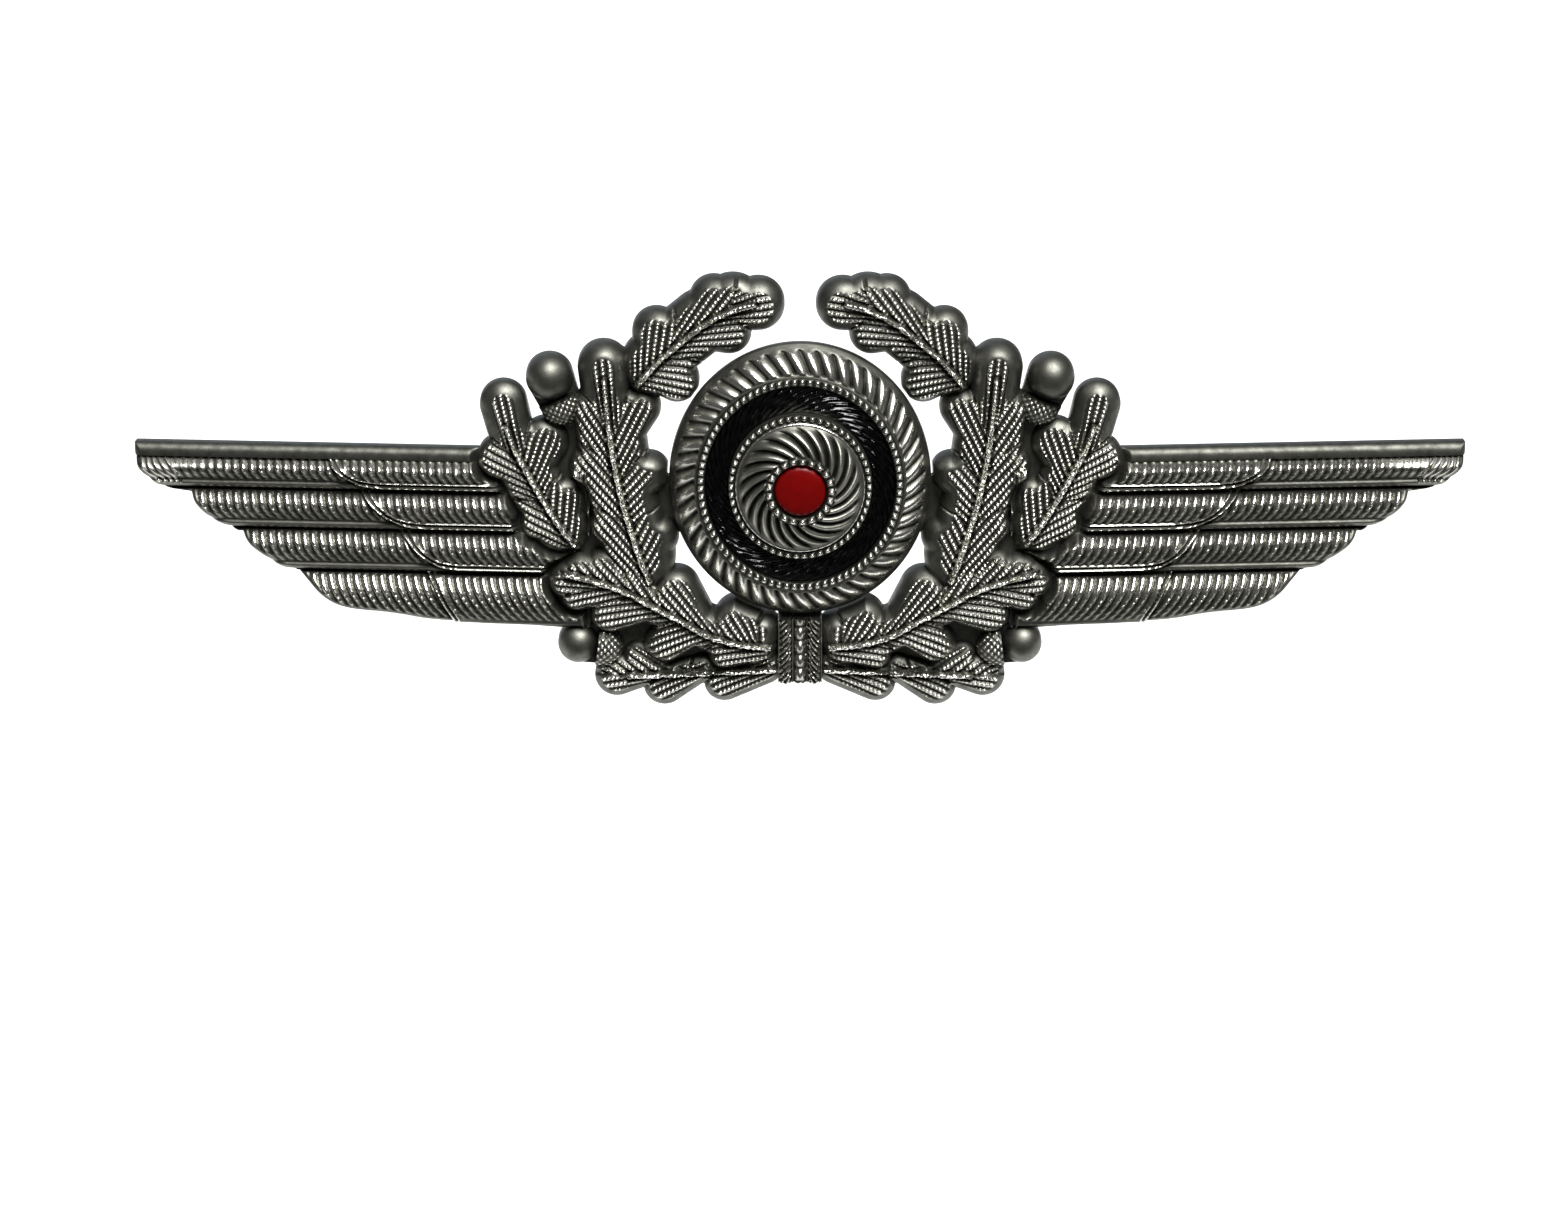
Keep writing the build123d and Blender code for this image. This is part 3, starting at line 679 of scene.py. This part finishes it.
def base_field(p):
    """Outline of the sheet that joins everything in the wreath."""
    half = mirrored_points(p)
    out = np.full(len(p), 1e9)
    for leaf in LEAVES.values():
        out = np.minimum(out, leaf_field(half, leaf))
    for nut, nut_radius, cup, cup_radius, _ in ACORNS.values():
        out = np.minimum(out, blob(half, nut, nut_radius, cup, cup_radius))
    for radius, run in CORE_RUNS:
        out = np.minimum(out, line_distance(half, run)[0] - radius)
    out = np.maximum(out, cockade_room(p))
    radius = np.hypot(*p.T)
    seat = np.minimum(radius - SEAT_RADIUS, blob(half, *SEAT_TAB))
    out = np.minimum(out, np.maximum(seat, SEAT_HOLE - radius))
    out = np.minimum(out, blob(half, *BOTTOM_WEB))
    low, high = (-BINDING_HALF_WIDTH, BINDING_BOTTOM), (BINDING_HALF_WIDTH, STEM_TOP)
    return np.minimum(out, box_field(p, low, high)) + BASE_INSET


def pocket_field(p):
    """Hollows in the back of the wreath, one behind each lobe."""
    half = mirrored_points(p)
    out = np.full(len(p), 1e9)
    for _, _, _, _, lobes in LEAVES.values():
        for tip, radius, root, _ in lobes:
            out = np.minimum(out, blob(half, tip, radius - POCKET_RIM, root, LOBE_ROOT - POCKET_RIM + 0.3))
    return out


def wreath_base():
    """Flat sheet with an outer wall and hollows in its back."""
    points, faces = sheet_over((-30, -23), (30, 20.5), COARSE, base_field)
    back_points, back_faces = clip(points, faces, -pocket_field(points))
    floor_points, floor_faces = clip(points, faces, pocket_field(points))
    layers = [
        lift(points, BASE_DEPTH),
        lift(back_points, 0),
        lift(floor_points, POCKET_DEPTH),
        lift(points, 0),
        lift(floor_points, 0),
    ]
    back, floor, outer_low, pocket_low = np.cumsum([len(layer) for layer in layers[:-1]])
    quads = []
    for a, b in border(faces).tolist():
        quads.append((b, a, outer_low + a, outer_low + b))
    for a, b in border(floor_faces).tolist():
        quads.append((floor + a, floor + b, pocket_low + b, pocket_low + a))
    turned_over = (back_faces[:, ::-1] + back).tolist() + (floor_faces[:, ::-1] + floor).tolist()
    all_points = np.vstack(layers)
    return all_points, faces.tolist() + turned_over + quads, np.full(len(all_points), MATTE)


build("wreath_base", wreath_base(), "wreath", SILVER)

# ---------------------------------------------------------------- binding at the bottom


BINDING_DEPTH = 2.5
BAND_SPACING = 1.32
BAND_HALF_WIDTH = 0.56
BAND_CROWN = 1.15
BAND_EDGES = (-1.94, -0.66, 0.66, 1.94)
BAND_EDGE_DEPTH = 3.1
RING_PITCH = 1.3               # rings down the middle band
ROPE_PITCH = 0.56              # strands of the two outer bands
ROPE_SLANT = 0.7
TURN_HEIGHT = 0.4


def binding_surface(p):
    """Depth and shine of the binding: smooth rings down the middle between two roped bands."""
    x, z = p[:, 0], p[:, 1]
    depth = np.full(len(p), BINDING_DEPTH)
    shine = np.full(len(p), 0.15)
    for centre in (-BAND_SPACING, 0.0, BAND_SPACING):
        across = (x - centre) / BAND_HALF_WIDTH
        band = BINDING_DEPTH + BAND_CROWN * np.sqrt(np.maximum(1 - across ** 2, 0))
        if centre == 0:
            turn = wave(z / RING_PITCH) ** 0.35
        else:
            turn = wave((z + np.sign(centre) * ROPE_SLANT * across) / ROPE_PITCH) ** 0.8
        band = band + (TURN_HEIGHT * turn - 0.25) * (np.abs(across) < 1)
        shine = np.where(np.abs(across) < 0.92, 0.05 + 0.75 * turn, shine)
        depth = np.maximum(depth, band)
    for edge in BAND_EDGES:
        ridge = np.abs(x - edge)
        depth = np.maximum(depth, BAND_EDGE_DEPTH - 3.5 * np.maximum(ridge - 0.05, 0))
        shine = np.where(ridge < 0.08, 0.9, shine)
    return depth, shine


low, high = (-BINDING_HALF_WIDTH, BINDING_BOTTOM), (BINDING_HALF_WIDTH, BINDING_TOP)
points, faces = sheet_over((-2.4, -20.2), (2.4, -12.2), FINE, lambda p: box_field(p, low, high))
depth, shine = binding_surface(points)
build("binding", relief(points, faces, depth, shine), "wreath", SILVER)

# ---------------------------------------------------------------- wings
# Left wing, before it leans back. Each feather: tip curve from its upper to its lower edge.
WING_TOP = 2.6
FEATHER_TIPS = [
    [(-60.7, 2.6), (-60.6, 1.4), (-60.1, 0.1), (-58.8, -1.25), (-57.8, -1.7), (-55.6, -1.95)],
    [(-55.6, -1.8), (-55.0, -3.0), (-53.7, -4.4), (-51.6, -5.5), (-51.0, -5.6)],
    [(-51.0, -5.4), (-50.3, -6.5), (-49.0, -7.7), (-47.3, -8.9), (-46.0, -9.3)],
    [
        (-46.0, -9.1), (-44.9, -10.1), (-43.2, -11.7), (-41.2, -12.6),
        (-37.5, -13.0), (-32.2, -13.7), (-21.2, -14.1),
    ],
]
COVERT_TIPS = [
    [(-43.1, 4.0), (-42.9, 1.6), (-41.7, 0.1), (-40.0, -1.0), (-38.0, -1.3)],
    [(-41.5, 0.0), (-39.6, -2.0), (-37.5, -4.0), (-35.8, -4.8), (-34.0, -5.0)],
    [(-38.0, -3.8), (-35.9, -5.8), (-34.3, -7.5), (-32.9, -8.5), (-31.2, -8.85)],
    [(-35.0, -7.8), (-33.5, -9.9), (-32.6, -11.6), (-31.6, -13.6), (-31.5, -15.0)],
]
FEATHER_LINES = [-1.4, -5.1, -9.0, -13.9]
ROOT_EDGE = -19.0
BARB_PITCH = 0.78
TOP_MARGIN = 1.15
WING_WALL = 0.9
WING_FACE = 1.25               # depth of the wing between its feathers' crowns
WING_FLOOR = 0.5               # the front is nowhere lower than this
TIP_COMB_WIDTH = 2.5           # lines along the end of the first feather
TIP_COMB_PITCH = 0.5
SHAFT_HEIGHT = 0.15
GAP_DEPTH = 0.3
COVERT_EDGE = 0.2
COVERT_DITCH = 0.16
WING_RIM = 0.5                 # flat rim round the wing's hollow back
FEATHER_CREST = 0.5            # where a feather is highest, from its upper to its lower edge
FEATHER_CROWN = 1.15
COVERT_STEP = 0.25             # the short feathers lie this much over the long ones
UNDER_LEAF = 1.0               # how far the wing runs in under the leaves
ROOT_DEPTH = 1.0               # the wing's depth there
ROOT_PAD = 0.7                 # width of the smooth pad between the leaves and the barbs


def wing_outline(p):
    """Outline of the outer feathers, all running to the root."""
    out = np.full(len(p), 1e9)
    upper = WING_TOP
    for tip, line in zip(FEATHER_TIPS, FEATHER_LINES):
        curve = smooth(tip)
        corners = [(ROOT_EDGE, curve[-1][1]), (ROOT_EDGE, upper), (curve[0][0], upper)]
        out = np.minimum(out, polygon_field(p, np.vstack([curve, corners])))
        upper = line + 0.2
    return out


def covert_inside(p, band):
    """Distance inside the curved end and lower edge of the short feather in each point's band."""
    inside = np.zeros(len(p))
    for index, tip in enumerate(COVERT_TIPS):
        curve = smooth(tip)
        corners = [(ROOT_EDGE, curve[-1][1]), (ROOT_EDGE, 9), (curve[0][0], 9)]
        mine = band == index
        inside[mine] = -polygon_field(p[mine], np.vstack([curve, corners]))
    return inside


def wing_surface(p, inside):
    """Depth and shine of the wing's front, given distances from its edge."""
    x, z = p[:, 0], p[:, 1]
    band = np.searchsorted(-np.array(FEATHER_LINES[:3]), -z)
    upper = np.array([WING_TOP - TOP_MARGIN] + [line - 0.2 for line in FEATHER_LINES[:3]])[band]
    lower = np.array([line + 0.75 for line in FEATHER_LINES[:3]] + [-13.4])[band]
    t = np.clip((upper - z) / (upper - lower), 0, 1)
    covert = covert_inside(p, band)
    in_covert = ease(-0.05, 0.05, covert)
    rise = np.sin(0.5 * math.pi * np.clip(t / FEATHER_CREST, 0, 1))
    fall = np.cos(0.5 * math.pi * np.clip((t - FEATHER_CREST) / 0.65, 0, 0.9))
    body = WING_FACE + FEATHER_CROWN * np.where(t < FEATHER_CREST, rise, fall)
    body += COVERT_STEP * in_covert
    # barbs run down from the feather's upper edge and lean towards the root
    drop = np.clip(upper - z, 0, 4.5)
    barb = (x - 0.04 * drop - 0.19 * drop ** 1.7) / BARB_PITCH
    beads_on_barb = wave((z + 0.4 * x) / 0.36 + 0.5 * (np.round(barb) % 2))
    ridge = wave(barb) ** (0.5 + 0.8 * ease(0.3, 0.7, t))
    ridge *= 1 - 0.45 * ease(0.25, 0.6, t) * (1 - beads_on_barb)
    strength = 0.32 - 0.12 * ease(0.3, 0.9, t)
    strength = np.where(band == 0, strength * ease(-56.5, -50.5, x), strength)
    covered = ease(-0.01, 0.08, t) * ease(1.0, 0.93, t) * ease(0.3, 0.55, inside)
    covered *= np.where(covert > 0, ease(0.6, 0.8, covert), ease(0, 0.2, -covert))
    surface = body + covered * strength * (ridge - 0.5)
    # painted shade: the barbs' shine falls by half over the lower part of each feather, which faces down
    gloss = MATTE * (1 - covered) + covered * ridge * (1 - 0.5 * ease(0.35, 0.75, t))
    # lines along the end of the first feather
    end = line_distance(p, FEATHER_TIPS[0][:4])[0]
    ends = (band == 0) & (end < TIP_COMB_WIDTH) & (z < upper) & (z > FEATHER_LINES[0] + 0.3)
    comb = wave(end / TIP_COMB_PITCH) * ease(0.3, 0.5, end)
    surface = np.where(ends, surface + 0.16 * comb, surface)
    gloss = np.where(ends, 0.12 + 0.6 * comb, gloss)
    # smooth margin along the top edge, sloping back; its shine of 0.12, below the other margins, is painted
    # shade for the dark that it reflects
    margin = z > upper
    slope = np.clip((z - upper) / TOP_MARGIN, 0, 1)
    surface = np.where(margin & (band == 0), WING_WALL + 0.85 - 0.3 * slope ** 2, surface)
    gloss = np.where(margin & (band == 0), 0.12, gloss)
    # shaft under each feather, then the gap above the next one, whose darkening is painted shade
    line = np.array(FEATHER_LINES)[band]
    gap = line_at(z, line - 0.06, 0.13) + line_at(z, upper + 0.02, 0.1) * (band > 0)
    shaft = line_at(z, line + 0.42, 0.2) * (covert < 0)
    surface += SHAFT_HEIGHT * shaft - GAP_DEPTH * gap
    gloss = np.maximum(gloss, 0.4 * shaft) * (1 - 0.7 * np.clip(gap, 0, 1))
    # double raised edge round each covert, with painted shade darkening the ditches beside it
    edge = line_at(covert, 0.18, 0.13) + line_at(covert, 0.58, 0.11)
    ditch = line_at(covert, 0.38, 0.1) + line_at(covert, -0.1, 0.12)
    margin_line = WING_TOP - TOP_MARGIN
    below_margin = ease(margin_line + 0.05, margin_line - 0.1, z)
    edge, ditch = edge * below_margin, ditch * below_margin
    surface += COVERT_EDGE * edge - COVERT_DITCH * ditch
    gloss = np.maximum(gloss, 0.9 * edge) * (1 - 0.8 * np.clip(ditch, 0, 1))
    surface -= 0.45 * (1 - bulge(inside / 0.6))
    return np.maximum(surface, WING_FLOOR), gloss


def lean_back(points):
    """Left wing's own frame to the row's frame."""
    angle = math.radians(WING_SWEEP)
    x, y = points[:, 0] + WING_ROOT, points[:, 1]
    across = x * math.cos(angle) + y * math.sin(angle) - WING_ROOT
    back = y * math.cos(angle) - x * math.sin(angle)
    return np.stack([across, back, points[:, 2]], 1)


def leaves_over_wing(p):
    """Field of the two leaves that lie over the wing's root."""
    return np.minimum(leaf_field(p, LEAVES["outer_leaf"]), leaf_field(p, LEAVES["bottom_outer_leaf"]))


def wing_field(p):
    """Outline of the wing, which ends a little way in under the leaves."""
    cover = leaves_over_wing(p)
    for radius, run in CORE_RUNS:
        cover = np.minimum(cover, line_distance(p, run)[0] - radius)
    return np.maximum(wing_outline(p), -cover - UNDER_LEAF)


points, faces = sheet_over((-61.2, -14.6), (ROOT_EDGE, 3.1), WING_FINE, wing_field)
depth, shine = wing_surface(points, -wing_outline(points))
clear = ease(-0.1, ROOT_PAD, leaves_over_wing(points))
depth = ROOT_DEPTH + (depth - ROOT_DEPTH) * clear
shine = MATTE + (shine - MATTE) * clear
shape = relief(points, faces, depth, shine, WING_RIM, WING_POCKET_DEPTH)
build_pair("wing_relief", shape, "{side}_wing", lean_back)

# ---------------------------------------------------------------- cockade
# Rings are turned sheets: a profile of (radius, depth) points, with a depth pattern added.


def turned(name, profile, pattern, slot, node):
    """Closed ring of revolution about Y. pattern(radius, angle) gives extra depth and shine."""
    profile = np.asarray(profile, float)
    angle = np.linspace(0, 2 * math.pi, TURN_STEPS, endpoint=False)
    radius, turn = np.meshgrid(profile[:, 0], angle, indexing="ij")
    depth = np.repeat(profile[:, 1:2], TURN_STEPS, axis=1)
    extra, shine = pattern(radius, turn)
    patterned = profile[:, 2:3] > 0
    depth = depth + np.where(patterned, extra, 0)
    shine = np.where(patterned, shine, 0.3)
    stretch = 1 + COCKADE_STRETCH * ease(2.4, 11, radius)
    points = np.stack([radius * np.cos(turn), -depth, radius * stretch * np.sin(turn)], -1).reshape(-1, 3)
    rows = len(profile)
    i, j = np.meshgrid(np.arange(rows), np.arange(TURN_STEPS), indexing="ij")
    row, row_after = i * TURN_STEPS, (i + 1) % rows * TURN_STEPS
    beside = (j + 1) % TURN_STEPS
    quads = np.stack([row + j, row + beside, row_after + beside, row_after + j], -1)
    build(name, (points, quads.reshape(-1, 4).tolist(), shine.ravel()), node, slot)


def radial(start, end, steps, rule=lambda t: 0.0):
    """Patterned profile points from one (radius, depth) to another, with rule(t) added to the depth."""
    t = np.linspace(0, 1, steps)
    radius = start[0] + (end[0] - start[0]) * t
    depth = start[1] + (end[1] - start[1]) * t + np.array([rule(k) for k in t])
    return np.stack([radius, depth, np.ones(steps)], 1).tolist()


def bead_row(centre, radius, depth, steps=9):
    """Half-round profile over a row of beads, from outside in."""
    turn = np.linspace(0, math.pi, steps)
    across, out = centre + radius * np.cos(turn), depth + radius * np.sin(turn)
    return np.stack([across, out, np.ones(steps)], 1).tolist()


RIM_FLUTES = 46
RIM_FLUTE_TURN = math.radians(6.5)
RIM_FLUTE_DEPTH = 0.45
RIM_BEADS = 81
RIM_BEAD_RADIUS = 9.0          # of the ring of beads, not of one bead
LACQUER_RIBS = 47
LACQUER_TURN = math.radians(34)
LACQUER_RELIEF = 0.38
BOSS_FLUTES = 21
BOSS_FLUTE_TURN = math.radians(36)
BOSS_FLUTE_DEPTH = 0.5
BOSS_BEADS = 54
BOSS_RING_RADIUS = 5.8


def beads(turn, count, radius, centre, half_width, height):
    """Extra depth and shine of a ring of round beads."""
    across = np.clip(1 - ((radius - centre) / half_width) ** 2, 0, 1)
    around = wave(turn * count / (2 * math.pi))
    return height * across * (around - 0.55), across * around


def rim_pattern(radius, turn):
    """Slanting flutes with rounded backs and narrow dark grooves, then a row of beads."""
    inward = (11.2 - radius) / 2
    phase = (turn + RIM_FLUTE_TURN * inward) * RIM_FLUTES / (2 * math.pi)
    ridge = np.sqrt(np.clip(wave(phase), 0, 1))
    covered = ease(11.5, 11.2, radius) * ease(9.5, 9.7, radius)
    extra = covered * RIM_FLUTE_DEPTH * (ridge - 0.75)
    shine = MATTE * (1 - covered) + covered * 0.9 * ridge ** 2
    bead_extra, bead_shine = beads(turn, RIM_BEADS, radius, RIM_BEAD_RADIUS, 0.32, 0.34)
    on_beads = radius < 9.4
    return np.where(on_beads, bead_extra, extra), np.where(on_beads, bead_shine, shine)


rim_profile = [(11.4, PLATE_FRONT, 0), (11.75, 1.35, 0), (11.9, 1.6, 0), (11.9, 2.0, 0)]
rim_profile += radial((11.82, 2.3), (9.45, 4.3), 48, lambda t: 0.4 * math.sin(math.pi * t))
rim_profile += bead_row(RIM_BEAD_RADIUS, 0.34, 4.35, 13)
rim_profile += [(8.66, 3.9, 0), (8.62, PLATE_FRONT, 0)]
turned("fluted_rim", rim_profile, rim_pattern, SILVER, "cockade_rim")


def lacquer_pattern(radius, turn):
    """Broken slanting ribs that catch the light in short streaks."""
    inward = (8.55 - radius) / 2
    phase = (turn - LACQUER_TURN * inward) * LACQUER_RIBS / (2 * math.pi)
    broken = wave(1.7 * radius + 5 * turn / math.pi) * wave(0.8 * radius - 8 * turn / math.pi)
    streak = wave(phase) ** 2 * (0.4 + 0.6 * broken)
    covered = ease(8.5, 8.2, radius) * ease(6.6, 6.9, radius)
    return LACQUER_RELIEF * (streak - 0.2) * covered, 0 * radius


ring_profile = [(6.55, PLATE_FRONT, 0), (8.55, PLATE_FRONT, 0)]
ring_profile += radial((8.55, 4.1), (6.55, 4.15), 30, lambda t: 0.22 * math.sin(math.pi * t))
turned("black_ring", ring_profile, lacquer_pattern, "black_lacquer", "cockade_black_ring")


def boss_pattern(radius, turn):
    """Beads, a smooth ring, comma-shaped flutes, and beads round the centre."""
    inward = (5.6 - radius) / 2.4
    phase = (turn + BOSS_FLUTE_TURN * inward) * BOSS_FLUTES / (2 * math.pi)
    ridge = np.sqrt(np.clip(wave(phase), 0, 1))
    covered = ease(5.65, 5.1, radius) * ease(3.1, 3.3, radius)
    extra = covered * BOSS_FLUTE_DEPTH * (ridge - 0.7)
    shine = MATTE * (1 - covered) + covered * 0.5 * ridge ** 3
    outer_extra, outer_shine = beads(turn, BOSS_BEADS, radius, 6.26, 0.24, 0.34)
    inner_extra, inner_shine = beads(turn, BOSS_FLUTES, radius, 2.8, 0.32, 0.36)
    smooth_ring = line_at(radius, BOSS_RING_RADIUS, 0.1)
    extra = np.where(radius > 6.0, outer_extra, np.where(radius < 3.12, inner_extra, extra))
    shine = np.where(radius > 6.0, outer_shine, np.where(radius < 3.12, inner_shine, shine))
    return extra + 0.14 * smooth_ring, np.maximum(shine, 0.95 * smooth_ring)


boss_profile = [(6.5, PLATE_FRONT, 0), (6.5, 4.9, 0)]
boss_profile += bead_row(6.24, 0.25, 5.2, 11)
boss_profile += radial((5.97, 5.2), (3.14, 6.9), 52, lambda t: 0.35 * math.sin(math.pi * t))
boss_profile += bead_row(2.8, 0.32, 6.85, 11)
boss_profile += [(2.4, 6.6, 0), (2.4, 5.7, 0), (0.02, 5.7, 0), (0.02, PLATE_FRONT, 0)]
turned("boss", boss_profile, boss_pattern, SILVER, "cockade_boss")


def plain(radius, turn):
    """No pattern."""
    return 0 * radius, 0 * radius


centre_profile = [(0.02, 5.8, 0), (2.33, 5.8, 0), (2.33, 6.6, 0), (2.28, 6.8, 0)]
centre_profile += [(2.15, 6.93, 0), (1.9, 7.02, 0), (1.4, 7.08, 0), (0.02, 7.1, 0)]
turned("red_centre", centre_profile, plain, "red_enamel", "cockade_red_centre")

# ---------------------------------------------------------------- plain pieces kept from the solids


PLAIN = {
    "plain_steel": plain_metal("plain_steel", (0.36, 0.36, 0.37), 0.35),
    "pin_brass": plain_metal("pin_brass", (0.66, 0.50, 0.24), 0.32),
    "solder": plain_metal("solder", (0.50, 0.51, 0.52), 0.4),
}
slots = {entry["node"]: entry["material_slot"] for entry in frame["record"]["subparts"]}
for name, node in frame["nodes"].items():
    if slots.get(name) in PLAIN:
        node.data.materials.clear()
        node.data.materials.append(PLAIN[slots[name]])

# ---------------------------------------------------------------- floor, lights, world, camera
FLOOR_Z = -250.0
FLOOR_FRONT = -120.0           # in front of this the floor would shine in the dark front of the metal
FLOOR_REACH = 4000.0
corners = []
for x, y in ((-1, 0), (1, 0), (1, 1), (-1, 1)):
    corner = (x * FLOOR_REACH, FLOOR_REACH if y else FLOOR_FRONT, FLOOR_Z)
    corners.append([MM * size for size in corner])
floor_mesh = bpy.data.meshes.new("floor")
floor_mesh.from_pydata(corners, [], [(0, 1, 2, 3)])
floor = bpy.data.objects.new("floor", floor_mesh)
bpy.context.collection.objects.link(floor)
pale = bpy.data.materials.new("pale_floor")
pale.use_nodes = True
pale.node_tree.nodes["Principled BSDF"].inputs["Base Color"].default_value = (0.9, 0.9, 0.9, 1)
pale.node_tree.nodes["Principled BSDF"].inputs["Roughness"].default_value = 0.9
floor_mesh.materials.append(pale)
floor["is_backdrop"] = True


def soft_sun(name, towards, power, spread, colour=(1, 1, 1)):
    """Even light from a direction, as wide as a softbox of that many degrees."""
    data = bpy.data.lights.new(name, "SUN")
    data.energy = power
    data.angle = math.radians(spread)
    data.color = colour
    light = bpy.data.objects.new(name, data)
    bpy.context.collection.objects.link(light)
    light.rotation_euler = Vector(towards).to_track_quat("Z", "Y").to_euler()
    return light


soft_sun("key", (0.2, -0.48, 0.85), 6.0, 36)
soft_sun("back_fill", (-0.3, 0.85, 0.35), 0.35, 60, (0.75, 0.85, 1.0))

world = bpy.data.worlds.new("studio")
bpy.context.scene.world = world
world.use_nodes = True
nodes, links = world.node_tree.nodes, world.node_tree.links
backdrop = nodes["Background"]
backdrop.inputs["Color"].default_value = (1, 1, 1, 1)
seen = nodes.new("ShaderNodeLightPath")
level = nodes.new("ShaderNodeMapRange")
level.inputs["To Min"].default_value = 0.09
level.inputs["To Max"].default_value = 1.05
links.new(seen.outputs["Is Camera Ray"], level.inputs["Value"])
links.new(level.outputs[0], backdrop.inputs["Strength"])
bpy.context.scene.view_settings.view_transform = "Standard"

ELEVATION = math.radians(16)
DISTANCE = 560.0
VIEW_WIDTH = 141.4
AIM = (-2.19, -12.06)          # view centre from the cockade's centre, across and up the picture plane
camera_data = bpy.data.cameras.new("camera")
camera_data.lens = camera_data.sensor_width * DISTANCE / VIEW_WIDTH
camera_data.clip_start, camera_data.clip_end = 0.01, 20
camera = bpy.data.objects.new("camera", camera_data)
bpy.context.collection.objects.link(camera)
up = Vector((0, math.sin(ELEVATION), math.cos(ELEVATION)))
forward = Vector((0, math.cos(ELEVATION), -math.sin(ELEVATION)))
aim = Vector((AIM[0], 0, 0)) + up * AIM[1]
camera.location = (aim - forward * DISTANCE) * MM
camera.rotation_euler = forward.to_track_quat("-Z", "Y").to_euler()
bpy.context.scene.camera = camera

low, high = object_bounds()
